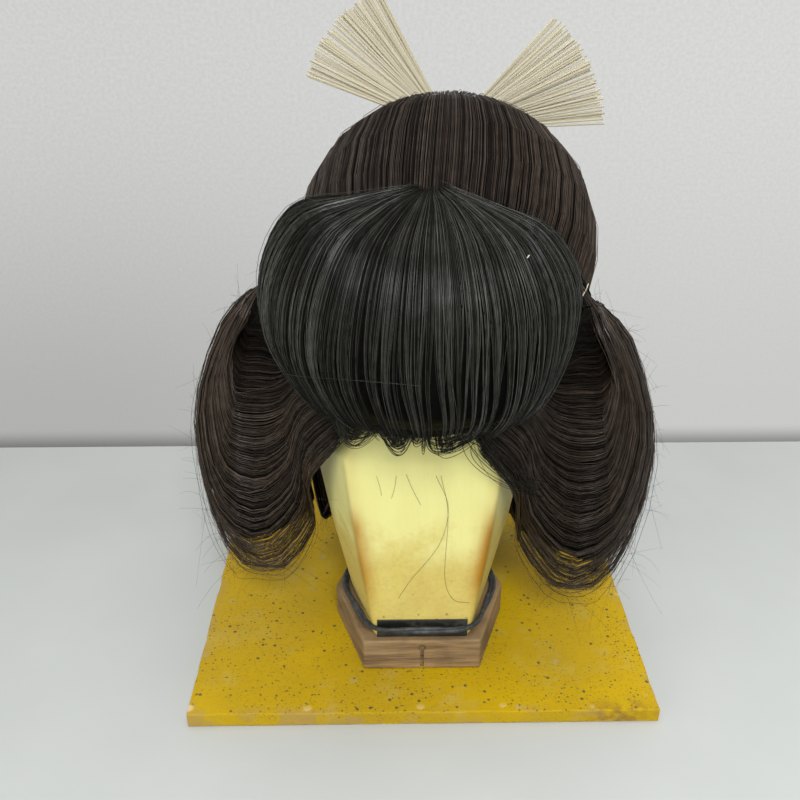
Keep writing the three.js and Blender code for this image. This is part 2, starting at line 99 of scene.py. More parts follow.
def addLights():
    for name, light in studio.items():
        data = bpy.data.lights.new(name, "AREA")
        data.energy = light["watts"]
        data.size = light["size"]
        data.color = light["color"]
        lamp = bpy.data.objects.new(name, data)
        lamp.location = light["place"]
        aim = Vector(lampAim) - lamp.location
        lamp.rotation_euler = aim.to_track_quat("-Z", "Y").to_euler()
        collection.objects.link(lamp)
    world = bpy.data.worlds.new("room")
    world.use_nodes = True
    background = world.node_tree.nodes["Background"]
    background.inputs["Color"].default_value = (*ambient["color"], 1)
    background.inputs["Strength"].default_value = ambient["strength"]
    bpy.context.scene.world = world
    bpy.context.scene.view_settings.view_transform = "Standard"


def addNode(tree, kind, settings, sockets, out):  # a new node of a tree, given back as one of its outputs
    called = lambda group, key: next(s for s in group if key in (s.identifier, s.name))
    made = tree.nodes.new(kind)
    for key, value in (settings or {}).items():
        setattr(made, key, value)
    for key, value in (sockets or {}).items():
        if isinstance(value, bpy.types.NodeSocket):
            tree.links.new(value, called(made.inputs, key))
        else:
            called(made.inputs, key).default_value = value
    return made.outputs[out] if isinstance(out, int) else called(made.outputs, out)


# Shader sockets as values
class Shade:
    def __init__(self, tree, socket=None):
        self.tree, self.socket = tree, socket

    def node(self, kind, settings=None, sockets=None, out=0):
        plain = {key: value.socket if isinstance(value, Shade) else value
                 for key, value in (sockets or {}).items()}
        return Shade(self.tree, addNode(self.tree, kind, settings, plain, out))

    def math(self, operation, a, b):
        return self.node("ShaderNodeMath", {"operation": operation}, {"Value": a, "Value_001": b})

    def __add__(self, other): return self.math("ADD", self, other)
    def __radd__(self, other): return self.math("ADD", other, self)
    def __sub__(self, other): return self.math("SUBTRACT", self, other)
    def __rsub__(self, other): return self.math("SUBTRACT", other, self)
    def __mul__(self, other): return self.math("MULTIPLY", self, other)
    def __rmul__(self, other): return self.math("MULTIPLY", other, self)

    def between(self, low, high):  # 0 below low, 1 above high
        return self.node("ShaderNodeMapRange", {"interpolation_type": "SMOOTHSTEP"},
                         {"Value": self, "From Min": low, "From Max": high})

    def mix(self, a, b):  # colour a where this value is 0, colour b where it is 1
        color = lambda c: c if isinstance(c, Shade) else (*c, 1)
        return self.node("ShaderNodeMix", {"data_type": "RGBA"},
                         {"Factor_Float": self, "A_Color": color(a), "B_Color": color(b)}, "Result_Color")


speckFull, speckChoice = 0.55, 0.02  # share of a spot's radius at full cover, softness of the choice of cells


class Finish:
    def __init__(self, name, **constants):
        self.material = bpy.data.materials.new(name)
        self.material.use_nodes = True
        self.tree = self.material.node_tree
        self.surface = self.tree.nodes["Principled BSDF"]
        for key, value in constants.items():
            self.surface.inputs[key.replace("_", " ")].default_value = value
        self.shade = Shade(self.tree)
        self.place = self.shade.node("ShaderNodeTexCoord", out="Object")

    def attribute(self, name):
        return self.shade.node("ShaderNodeAttribute", {"attribute_name": name}, out="Fac")

    def mapped(self, stretch, shift):
        return self.shade.node("ShaderNodeMapping", None,
                               {"Vector": self.place, "Scale": stretch, "Location": shift})

    def along(self, axis):
        return self.shade.node("ShaderNodeSeparateXYZ", None, {"Vector": self.place}, axis)

    def noise(self, scale, detail=3.0, rough=0.55, stretch=(1, 1, 1), shift=(0, 0, 0)):
        return self.shade.node("ShaderNodeTexNoise", None, {
            "Vector": self.mapped(stretch, shift), "Scale": scale, "Detail": detail, "Roughness": rough})

    def cells(self, scale, out, shift):
        return self.shade.node("ShaderNodeTexVoronoi", None,
                               {"Vector": self.mapped((1, 1, 1), shift), "Scale": scale}, out)

    def specks(self, scale, radius, share, shift=(0, 0, 0)):  # spots in a share of the cells
        spot = 1 - self.cells(scale, "Distance", shift).between(radius * speckFull, radius)
        return spot * self.cells(scale, "Color", shift).between(1 - speckChoice - share, 1 - share)

    def feed(self, **values):
        for key, value in values.items():
            self.tree.links.new(value.socket, self.surface.inputs[key.replace("_", " ")])

    def bump(self, height, strength, distance):
        self.feed(Normal=self.shade.node("ShaderNodeBump", None, {
            "Height": height, "Strength": strength, "Distance": distance}, "Normal"))


def layered(color, colors, covers):  # colours laid over one another, each by its cover from 0 to 1
    for name, cover in covers.items():
        color = cover.mix(color, colors[name])
    return color


hairLooks = {
    "forelock_hair": {"dark": (0.0008, 0.0008, 0.0006), "light": (0.062, 0.0572, 0.037),
                      "gloss": 0.28, "shine": 1.0, "coat": (0.77, 0.91, 1.0)},
    "crown_hair": {"dark": (0.0025, 0.0016, 0.0012), "light": (0.074, 0.048, 0.032),
                   "gloss": 0.32, "shine": 0.36, "coat": (1.0, 1.0, 1.0)},
    "wing_hair": {"dark": (0.0012, 0.0008, 0.0006), "light": (0.11, 0.075, 0.049),
                  "gloss": 0.3, "shine": 0.55, "coat": (1.0, 1.0, 1.0)},
}


def hairFinish(name):
    look = hairLooks[name]
    finish = Finish(name, Specular_IOR_Level=0.13, Coat_IOR=2.0, Coat_Roughness=look["gloss"],
                    Coat_Tint=(*look["coat"], 1))
    strand = finish.attribute("tint")
    drift = finish.noise(150, 3.0).between(0.3, 0.7)
    finish.feed(Base_Color=(strand * (0.7 + drift * 0.4)).mix(look["dark"], look["light"]),
                Roughness=0.62 - strand * 0.2,
                Coat_Weight=strand.between(0.05, 0.75) * (0.6 + drift * 0.4) * look["shine"])
    return finish.material


packedColors = {"deep": (0.0008, 0.0007, 0.0006), "near": (0.004, 0.0032, 0.0028)}


def packedFinish():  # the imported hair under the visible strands
    finish = Finish("packed_hair", Specular_IOR_Level=0.05)
    mass = finish.noise(420, 3.0).between(0.3, 0.75)
    # painted shade: the packed hair is near-black, darker than the strands over it, so the gaps between
    # strands show as shade; it also stands for the dark hair itself
    finish.feed(Base_Color=mass.mix(packedColors["deep"], packedColors["near"]),
                Roughness=0.55 + mass * 0.2)
    finish.bump(mass, 0.3, 0.0008)
    return finish.material


paperColors = {"shaded": (0.42, 0.37, 0.25), "bright": (0.66, 0.61, 0.47)}


def paperFinish():
    finish = Finish("paper_cord", Roughness=0.82)
    tint = finish.attribute("tint")
    grain = finish.noise(900, 3.0)
    finish.feed(Base_Color=(tint * 0.8 + grain * 0.15).mix(paperColors["shaded"], paperColors["bright"]))
    finish.bump(grain, 0.06, 0.0003)
    return finish.material


boardColors = {
    "ochre": (0.42, 0.275, 0.01), "yellow": (0.54, 0.35, 0.002), "dust": (0.46, 0.38, 0.14),
    "smudge": (0.36, 0.33, 0.2), "tiny": (0.2, 0.13, 0.02), "small": (0.09, 0.07, 0.03),
    "large": (0.07, 0.06, 0.035), "scuff": (0.36, 0.24, 0.09), "corner": (0.22, 0.115, 0.02),
    "nick": (0.78, 0.62, 0.34),
}


def boardFinish():
    finish = Finish("board_lacquer", Coat_Roughness=0.22, Specular_IOR_Level=0.09)
    clouds = finish.noise(9, 5.0).between(0.36, 0.66)
    grain = finish.noise(70, 4.0, stretch=(1, 7, 1)).between(0.3, 0.75)
    paint = (clouds * 0.75 + grain * 0.2).mix(boardColors["ochre"], boardColors["yellow"])
    dust = finish.noise(26, 6.0, 0.65, shift=(1.7, 0.4, 0)).between(0.52, 0.72)
    area = finish.noise(13, 2.0, shift=(0.6, 2.2, 0)).between(0.34, 0.56)
    large = finish.specks(150, 0.22, 0.42)
    small = finish.specks(290, 0.26, 0.62, (3, 1, 0)) * area
    tiny = finish.specks(560, 0.34, 0.66, (1, 5, 0)) * (0.35 + area * 0.65)
    smudge = finish.specks(75, 0.3, 0.24, (2, 7, 0)) * finish.noise(300, 3.0).between(0.35, 0.6)
    edge = finish.attribute("edge")
    scuffs = edge * finish.noise(45, 4.0, shift=(0, 4, 0)).between(0.46, 0.62)
    worn = finish.attribute("corner") * finish.noise(90, 5.0, 0.65, shift=(4, 4, 0)).between(0.4, 0.6)
    nicks = edge * finish.specks(110, 0.4, 0.3, (6, 2, 0))
    color = layered(paint, boardColors, {
        "dust": dust * 0.32, "smudge": smudge * 0.4, "tiny": tiny * 0.6, "small": small * 0.8,
        "large": large * 0.85, "scuff": scuffs * 0.6, "corner": worn * 0.8, "nick": nicks * 0.8})
    pits = large + small * 0.6
    finish.feed(Base_Color=color, Roughness=0.36 + dust * 0.25 + pits * 0.15, Coat_Weight=0.04 - dust * 0.03)
    finish.bump(clouds * 0.25 + grain * 0.22 - pits * 0.5, 0.2, 0.001)
    return finish.material


postColors = {
    "low": (0.66, 0.545, 0.142), "high": (0.76, 0.73, 0.29), "blotch": (0.53, 0.38, 0.1),
    "brushed": (0.66, 0.55, 0.2), "grime": (0.4, 0.3, 0.1), "stain": (0.4, 0.19, 0.014),
    "fleck": (0.24, 0.14, 0.05),
}


def postFinish():
    finish = Finish("aged_cream_paint", Specular_IOR_Level=0.25)
    ridge = finish.attribute("ridge")
    rise = finish.attribute("rise")
    blotch = finish.noise(30, 5.0, 0.62).between(0.38, 0.66)
    brushed = finish.noise(90, 4.0, stretch=(1, 1, 0.12)).between(0.35, 0.7)
    grime = finish.noise(420, 4.0, 0.6).between(0.42, 0.7)
    high = (rise + blotch * 0.16).between(0.44, 0.68)
    paint = high.mix(postColors["low"], postColors["high"])
    run = finish.noise(46, 4.0, stretch=(1, 1, 0.3), shift=(2, 2, 0)).between(0.26, 0.54)
    where = rise.between(0.12, 0.34) * (1 - rise.between(0.52, 0.74))
    stain = ridge * (0.75 + run * 0.35) * (0.2 + where * 0.8)
    flecks = finish.specks(160, 0.2, 0.3) * (1 - high)
    color = layered(paint, postColors, {
        "blotch": blotch * (1 - high) * 0.45, "brushed": brushed * 0.16,
        "grime": grime * (1 - high) * 0.22, "stain": stain * 0.95, "fleck": flecks * 0.7})
    finish.feed(Base_Color=color, Roughness=0.4 + blotch * 0.18 + grime * 0.08)
    finish.bump(blotch * 0.4 + brushed * 0.4 + grime * 0.2, 0.22, 0.001)
    return finish.material


footColors = {"dark": (0.11, 0.062, 0.026), "light": (0.33, 0.21, 0.092), "fibre": (0.43, 0.3, 0.155),
              "grime": (0.085, 0.053, 0.026)}


def footFinish():
    finish = Finish("bare_wood")
    grain = finish.noise(36, 6.0, 0.6, stretch=(0.35, 0.5, 3.6))
    fibre = finish.noise(160, 4.0, 0.6, stretch=(0.2, 0.3, 2.6)).between(0.3, 0.7)
    wood = grain.between(0.32, 0.7).mix(footColors["dark"], footColors["light"])
    grime = finish.noise(24, 4.0, shift=(3, 0, 1)).between(0.5, 0.75)
    color = layered(wood, footColors, {"fibre": fibre * 0.36, "grime": grime * 0.75})
    finish.feed(Base_Color=color, Roughness=0.7 + fibre * 0.2)
    finish.bump(grain * 0.7 + fibre * 0.4, 0.5, 0.0015)
    return finish.material


elasticColors = {"rubber": (0.016, 0.019, 0.022), "dust": (0.066, 0.073, 0.078)}


def elasticFinish():
    finish = Finish("grey_elastic", Roughness=0.58)
    dust = finish.noise(260, 4.0).between(0.35, 0.75)
    finish.feed(Base_Color=dust.mix(elasticColors["rubber"], elasticColors["dust"]))
    finish.bump(finish.noise(900, 2.0), 0.2, 0.0004)
    return finish.material


labelColors = {"tape": (0.008, 0.009, 0.007), "worn": (0.05, 0.048, 0.035)}


def labelFinish():
    finish = Finish("blank_label")
    wear = finish.noise(120, 5.0, 0.65).between(0.45, 0.75)
    finish.feed(Base_Color=wear.mix(labelColors["tape"], labelColors["worn"]), Roughness=0.4 + wear * 0.3)
    finish.bump(wear, 0.2, 0.0004)
    return finish.material


tableColors = {"far": (0.37, 0.385, 0.375), "near": (0.53, 0.55, 0.545)}


def tableFinish():
    finish = Finish("pale_table", Roughness=0.55)
    # painted light: the table is coloured lighter to the right and towards the front, darker to the left and
    # back, as lamp light falling off; the noise is its own uneven tone
    tone = finish.noise(9, 4.0).between(0.3, 0.7) * 0.2 + finish.along("X").between(-0.7, 0.7) * 0.8
    near = 1 - finish.along("Y").between(-0.25, 0.2)
    finish.feed(Base_Color=(tone * 0.6 + near * 0.4).mix(tableColors["far"], tableColors["near"]))
    return finish.material


# The wall's light is painted and not given by the lamps: it glows, rising with height and to the right, with
# a painted shadow along its foot
wallColors = {"unlit": (0, 0, 0), "glow": (1.0, 1.01, 0.985)}


def wallFinish():
    finish = Finish("plaster_wall", Base_Color=(*wallColors["unlit"], 1), Roughness=0.8,
                    Specular_IOR_Level=0.0, Emission_Strength=1.0)
    high, right = finish.along("Z").between(-0.75, 0.3), finish.along("X").between(-0.9, 0.9)
    glow = 0.45 + high * 0.17 + right * 0.15 - high * right * 0.1
    # painted shadow: the glow drops to a dark line where the wall shows just above the table's edge
    foot = 0.42 + finish.along("Z").between(-0.8, -0.73) * 0.58
    grain = finish.noise(120, 4.0, 0.6).between(0.3, 0.7)
    paintedWallLight = glow * foot * (0.97 + grain * (0.02 + high * 0.07))
    finish.feed(Emission_Color=paintedWallLight.mix(wallColors["unlit"], wallColors["glow"]))
    return finish.material


# Mesh helpers
mergeDistance = 1e-6


def meshPiece(name, mesh, material, replaced=()):
    if material.name not in mesh.materials:
        mesh.materials.clear()
        mesh.materials.append(material)
    piece = bpy.data.objects.new(name, mesh)
    collection.objects.link(piece)
    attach(piece, "root")
    if replaced:
        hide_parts(*replaced)


def setAttribute(mesh, name, values):
    values = np.asarray(values, np.float32).ravel()
    mesh.attributes.new(name, "FLOAT", "POINT").data.foreach_set("value", values)


def meshFrom(work, name):  # ends a bmesh and keeps its result
    mesh = bpy.data.meshes.new(name)
    work.to_mesh(mesh)
    work.free()
    return mesh


def gridMesh(name, points, faces, attributes):
    mesh = bpy.data.meshes.new(name)
    mesh.from_pydata(points.reshape(-1, 3).tolist(), [], faces)
    for key, values in attributes.items():
        setAttribute(mesh, key, values)
    work = bmesh.new()
    work.from_mesh(mesh)
    bmesh.ops.remove_doubles(work, verts=work.verts, dist=mergeDistance)
    if work.calc_volume(signed=True) < 0:
        bmesh.ops.reverse_faces(work, faces=work.faces)
    work.to_mesh(mesh)
    work.free()
    mesh.polygons.foreach_set("use_smooth", [True] * len(mesh.polygons))
    return mesh


def wallMesh(name, outer, inner, ring=False, capped=False):  # a closed wall between two grids
    rows, columns = outer.shape[:2]
    at = lambda layer, row, column: layer * rows * columns + row * columns + column % columns
    faces = []
    for column in range(columns if ring else columns - 1):
        near, far = column, column + 1
        for row in range(rows - 1):
            faces.append((at(0, row, near), at(0, row, far), at(0, row + 1, far), at(0, row + 1, near)))
            faces.append((at(1, row, near), at(1, row + 1, near), at(1, row + 1, far), at(1, row, far)))
        for row in [0] if capped else [0, rows - 1]:
            face = (at(0, row, near), at(1, row, near), at(1, row, far), at(0, row, far))
            faces.append(face if row == 0 else face[::-1])
    for column in () if ring else (0, columns - 1):
        for row in range(rows - 1):
            face = (at(0, row, column), at(0, row + 1, column), at(1, row + 1, column), at(1, row, column))
            faces.append(face if column == 0 else face[::-1])
    return gridMesh(name, np.concatenate([outer.reshape(-1, 3), inner.reshape(-1, 3)]), faces, {})


# Geometry Nodes trees, built in code
class Nodes:
    def __init__(self, name, inputs):
        self.tree = bpy.data.node_groups.new(name, "GeometryNodeTree")
        self.tree.interface.new_socket("Geometry", in_out="INPUT", socket_type="NodeSocketGeometry")
        self.tree.interface.new_socket("Geometry", in_out="OUTPUT", socket_type="NodeSocketGeometry")
        for label, kind in inputs.items():
            self.tree.interface.new_socket(label, in_out="INPUT", socket_type=kind)
        self.start = self.tree.nodes.new("NodeGroupInput")

    def given(self, label):
        return self.start.outputs[label]

    def node(self, kind, settings=None, sockets=None, out=0):
        return addNode(self.tree, kind, settings, sockets, out)

    def math(self, operation, a, b):
        return self.node("ShaderNodeMath", {"operation": operation}, {"Value": a, "Value_001": b})

    def finish(self, geometry, material):
        real = self.node("GeometryNodeRealizeInstances", None, {"Geometry": geometry})
        dressed = self.node("GeometryNodeSetMaterial", None, {"Geometry": real, "Material": material})
        end = self.tree.nodes.new("NodeGroupOutput")
        self.tree.links.new(dressed, end.inputs[0])
        return self.tree


def grow(name, mesh, tree, values):  # runs a node tree once and keeps its result as a plain mesh
    seed = bpy.data.objects.new(name + "_seed", mesh)
    collection.objects.link(seed)
    modifier = seed.modifiers.new("grow", "NODES")
    modifier.node_group = tree
    identifiers = {s.name: s.identifier for s in tree.interface.items_tree if s.in_out == "INPUT"}
    for label, value in values.items():
        modifier[identifiers[label]] = value
    depsgraph = bpy.context.evaluated_depsgraph_get()
    result = bpy.data.meshes.new_from_object(seed.evaluated_get(depsgraph))
    result.name = name
    seed.modifiers.remove(modifier)
    bpy.data.objects.remove(seed)
    return result


def strandTree():
    nodes = Nodes("strandTubes", {"Sides": "NodeSocketInt", "Thickness": "NodeSocketFloat",
                                  "Material": "NodeSocketMaterial"})
    curve = nodes.node("GeometryNodeMeshToCurve", None, {"Mesh": nodes.given("Geometry")})
    profile = nodes.node("GeometryNodeCurvePrimitiveCircle", None, {
        "Resolution": nodes.given("Sides"), "Radius": nodes.given("Thickness")})
    taper = nodes.node("GeometryNodeInputNamedAttribute", {"data_type": "FLOAT"}, {"Name": "taper"})
    tubes = nodes.node("GeometryNodeCurveToMesh", None, {
        "Curve": curve, "Profile Curve": profile, "Scale": taper, "Fill Caps": True})
    shaded = nodes.node("GeometryNodeSetShadeSmooth", None, {"Geometry": tubes})
    return nodes.finish(shaded, nodes.given("Material"))


strandTubes = strandTree()


def strandPiece(name, strands, thickness, material, sides=3, closed=False, replaced=()):
    paths, taper, tint = strands
    count, points = paths.shape[:2]
    mesh = bpy.data.meshes.new(name)
    mesh.vertices.add(count * points)
    mesh.vertices.foreach_set("co", paths.astype(np.float32).ravel())
    steps = np.arange(points if closed else points - 1)
    start = np.arange(count)[:, None] * points
    edges = np.stack([start + steps, start + (steps + 1) % points], -1).reshape(-1, 2)
    mesh.edges.add(len(edges))
    mesh.edges.foreach_set("vertices", edges.astype(np.int32).ravel())
    setAttribute(mesh, "taper", np.broadcast_to(taper, (count, points)))
    setAttribute(mesh, "tint", np.broadcast_to(tint, (count, points)))
    mesh.update()
    values = {"Sides": sides, "Thickness": thickness * mm, "Material": material}
    meshPiece(name, grow(name, mesh, strandTubes, values), material, replaced)


# Hair surfaces in the wig's frame. across picks a strand and t runs along it, both from 0 to 1.
def alongCurve(stations, t):  # smooth curve through stations (rows, count, 3) at t (count)
    first, last = 2 * stations[0] - stations[1], 2 * stations[-1] - stations[-2]
    knots = np.concatenate([first[None], stations, last[None]])
    place = np.clip(t, 0, 1) * (len(stations) - 1)
    low = np.minimum(place.astype(int), len(stations) - 2)
    w = (place - low)[:, None]
    each = np.arange(len(t))
    a, b, c, d = (knots[low + step, each] for step in range(4))
    leave, arrive = (c - a) / 2, (d - b) / 2
    return b + w * (leave + w * (3 * (c - b) - 2 * leave - arrive + w * (2 * (b - c) + leave + arrive)))


forelock = {
    "tieX": 6.0, "tieY": -22.0, "centredAt": 80.0, "rootHalf": 7.0, "rootY": 14.0, "rootZ": 316.0,
    # reach in front, reach at the side, turn of the outermost strand, z in front, z at the side, droop, lean
    "stations": np.array([
        (12, 14, 104, 323.5, 322.5, 0, 0), (32, 44, 101, 319, 317, 5, 0), (59, 76, 98, 304, 311, 10, 0),
        (78, 95, 94, 274, 283, 8, 0), (87, 95, 88, 242, 250, 3, 0), (88, 82, 78, 219, 219, 0, 4),
        (83, 73, 65, 206, 203, 0, 6), (75, 69, 55, 199, 195, 0, 5), (67, 63, 50, 200, 196, 0, 5),
        (61, 56, 47, 208, 206, 0, 4)], float),
}


def forelockAt(across, t):
    spread = 2 * across - 1
    share = spread * spread
    rows = [np.stack([forelock["tieX"] + spread * forelock["rootHalf"], 0 * spread + forelock["rootY"],
                      0 * spread + forelock["rootZ"]], -1)]
    for reachFront, reachSide, turn, zFront, zSide, droop, lean in forelock["stations"]:
        reach = lerp(reachFront, reachSide, share)
        bearing = np.radians(spread * turn)
        x = forelock["tieX"] * (1 - smooth(reach, 0, forelock["centredAt"])) + lean + reach * np.sin(bearing)
        z = lerp(zFront, zSide, share) - droop * share * (spread > 0)
        rows.append(np.stack([x, forelock["tieY"] - reach * np.cos(bearing), z], -1))
    return alongCurve(np.stack(rows), t)


wing = {
    "rollFrom": 0.8, "rollDepth": 28.0,
    "pocket": np.array([(64, -50, 249), (71, -46, 248), (87, -32, 248), (94, -24, 249), (97, -18, 249),
                        (98, -13, 250), (98, -8, 251), (99, -3, 252), (86, 36, 276)], float),
    "rim": np.array([(40, -80, 190), (64, -66, 152), (71, -58, 93), (106, -57, 49), (139, -51, 84),
                     (154, -30, 154), (134, -18, 222), (104, -2, 254), (84, 46, 274)], float),
    "sag": (1, 1.15, 1.25, 1.4, 1.2, 1.1, 1, 1, 1),
    "swell": (0.8, 2, 2, 0.7, 0.7, 0.7, 0.7, 0.7, 0.7),
    "floor": 62.0, "floorDepth": 9.0,  # the lowest hair is drawn up into a round bottom
    # the rising strands lap forward over the pocket, with a hollow behind the lip's inner edge
    "lip": {"forward": 8.0, "inward": 9.0, "back": 10.0, "edge": 0.38, "softness": 0.09,
            "rise": (0.42, 0.6), "fade": (0.74, 0.88), "toRim": 0.4, "fromPocket": 0.2},
}


def lipShift(across, t):
    lip = wing["lip"]
    rising = smooth(t, *lip["rise"]) * (1 - smooth(t, *lip["fade"]))
    onLip = smooth(across, lip["edge"] - lip["softness"], lip["edge"] + lip["softness"])
    lap = rising * onLip * smooth(1 - across, 0.0, lip["toRim"])
    hollow = rising * (1 - onLip) * smooth(across, 0.0, lip["fromPocket"])
    return lip["inward"] * lap, lip["back"] * hollow - lip["forward"] * lap


def wingAt(hand):
    def surface(across, t):
        last = len(wing["rim"]) - 1
        roll = wing["rollDepth"] * smooth(across, wing["rollFrom"], 1)
        rows = []
        inside = np.maximum(across, 0)
        stations = zip(wing["pocket"], wing["rim"], wing["sag"], wing["swell"])
        for index, (pocket, rim, sag, swell) in enumerate(stations):
            point = pocket + (rim - pocket) * across[:, None]
            point[:, 0] = hand * lerp(pocket[0], rim[0], inside ** swell)
            point[:, 2] = lerp(pocket[2], rim[2], inside ** sag)
            if 1 < index < last - 1:
                point[:, 1] += roll
            rows.append(point)
        points = alongCurve(np.stack(rows), t)
        inward, back = lipShift(across, t)
        points[:, 0] -= hand * inward
        points[:, 1] += back
        under = np.maximum(wing["floor"] - points[:, 2], 0)
        points[:, 2] += under - wing["floorDepth"] * np.tanh(under / wing["floorDepth"])
        return points
    return surface


nape = {
    "middle": np.array([(0, 132, 292), (0, 140, 240), (0, 136, 180), (0, 146, 122),
                        (0, 140, 70), (0, 112, 42), (0, 90, 54), (0, 80, 98)], float),
    "side": np.array([(70, 84, 262), (92, 72, 222), (95, 62, 178), (93, 58, 128),
                      (88, 54, 74), (80, 46, 46), (70, 42, 58), (62, 44, 94)], float),
}


def napeAt(across, t):
    spread = 2 * across - 1
    quarter = np.radians(90) * np.abs(spread)
    rows = [np.stack([np.sign(spread) * side[0] * np.sin(quarter), lerp(side[1], middle[1], np.cos(quarter)),
                      lerp(side[2], middle[2], np.cos(quarter))], -1)
            for middle, side in zip(nape["middle"], nape["side"])]
    return alongCurve(np.stack(rows), t)


head = {"centre": np.array([0.0, 14.0, 195.0]), "radii": np.array([79.0, 97.0, 112.0]), "wall": 6.0}
dome = {"centre": np.array([11.0, 62.0, 263.0]), "radii": np.array([100.0, 95.0, 101.0])}
knotTilt = math.radians(42)
knotAxis = np.array([0.0, math.cos(knotTilt), math.sin(knotTilt)])
crownUp = np.array([0.0, -math.sin(knotTilt), math.cos(knotTilt)])
crownRim = {"around": (0, 60, 100, 140, 180), "rim": (43, 52, 63, 79, 85)}


def crownDirection(around, fromFace):
    a, b = np.radians(around)[..., None], np.radians(fromFace)[..., None]
    radial = np.sin(a) * np.array([1.0, 0, 0]) + np.cos(a) * crownUp
    return radial * np.sin(b) - knotAxis * np.cos(b)


def reachTo(form, direction, extra):
    radii = form["radii"] + extra
    start = (head["centre"] - form["centre"]) / radii
    ray = direction / radii
    half = ray @ start
    size = (ray * ray).sum(-1)
    return (-half + np.sqrt(half * half - size * (start @ start - 1))) / size


def crownPoint(around, fromFace, extra=0.0):
    direction = crownDirection(around, fromFace)
    reach = np.maximum(reachTo(head, direction, head["wall"] + extra), reachTo(dome, direction, extra))
    return head["centre"] + direction * reach[..., None]


def rimAt(around):
    spot = np.abs(around)
    index = np.clip(np.searchsorted(crownRim["around"], spot), 1, len(crownRim["around"]) - 1)
    low, high = np.array(crownRim["around"])[index - 1], np.array(crownRim["around"])[index]
    rims = np.array(crownRim["rim"], float)
    return lerp(rims[index - 1], rims[index], smooth(spot, low, high))


def crownAt(across, t):  # across runs once round the knot axis, from the nape over the brow and back
    around = (360 * across) % 360 - 180
    return crownPoint(around, lerp(rimAt(around), 180, t))


normalStep, edgeStep = 0.003, 0.01  # shares of a sheet over which its directions are measured


def acrossAt(surface, across, t, step):
    return surface(across + step, t) - surface(across - step, t)


def alongAt(surface, across, t, step):
    return surface(across, np.minimum(t + step, 1)) - surface(across, np.maximum(t - step, 0))


def normalAt(surface, side, across, t):
    wide, tall = (measure(surface, across, t, normalStep) for measure in (acrossAt, alongAt))
    return side * unit(np.cross(wide, tall))


def behind(surface, side, depth):  # the same sheet of hair, seen from its other face
    return lambda across, t: surface(across, t) - normalAt(surface, side, across, t) * depth


# Packed hair below and combed strands above, for each sheet of hair
hairWall = 4.0
backSink = 1.1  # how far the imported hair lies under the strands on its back
sinkChange = (0.52, 0.7)  # where along a sheet its packed hair goes from the first sink to the second


def packedShell(name, surface, side, shell, material):
    columns, rows, (sink, lowSink) = shell["columns"], shell["rows"], shell["sink"]
    across, t = np.meshgrid(np.linspace(0, 1, columns), np.linspace(0, 1, rows))
    reach = shell["reach"]
    if "opening" in shell:
        opening = shell["opening"]
        reach = reach - opening["cut"] * np.exp(-((t - opening["at"]) / opening["width"]) ** 2)
    across, t = (across * reach).ravel(), t.ravel()
    base = surface(across, t)
    normal = normalAt(surface, side, across, t)
    depth = lerp(sink, lowSink, smooth(t, *sinkChange))[:, None]
    outer = onBoard(base - normal * depth).reshape(rows, columns, 3)
    inner = onBoard(base - normal * (depth + hairWall - sink - backSink)).reshape(rows, columns, 3)
    meshPiece(name, wallMesh(name, outer, inner), material, (name,))


# Shared by all combed sheets; a comb of its own stands with each
combing = {
    "lockWidths": (0.5, 1.5), "pulls": (0.3, 1.6), "mostPull": 0.92, "heights": (0.3, 1.0), "endBias": 1.3,
    "leastTone": 0.04, "strayWander": 6.0, "strayLift": 0.4, "waves": 3.1, "paintedDepthShade": (0.15, 1.3),
    "fullTintAt": 1.2, "girths": (0.7, 1.15), "tipLoss": 0.7, "tipLength": 0.1, "tipPast": 0.001,
}


def lockEdges(random, count):  # borders of locks of uneven width, from 0 to 1
    widths = random.uniform(*combing["lockWidths"], count)
    return np.concatenate([[0], np.cumsum(widths) / widths.sum()])


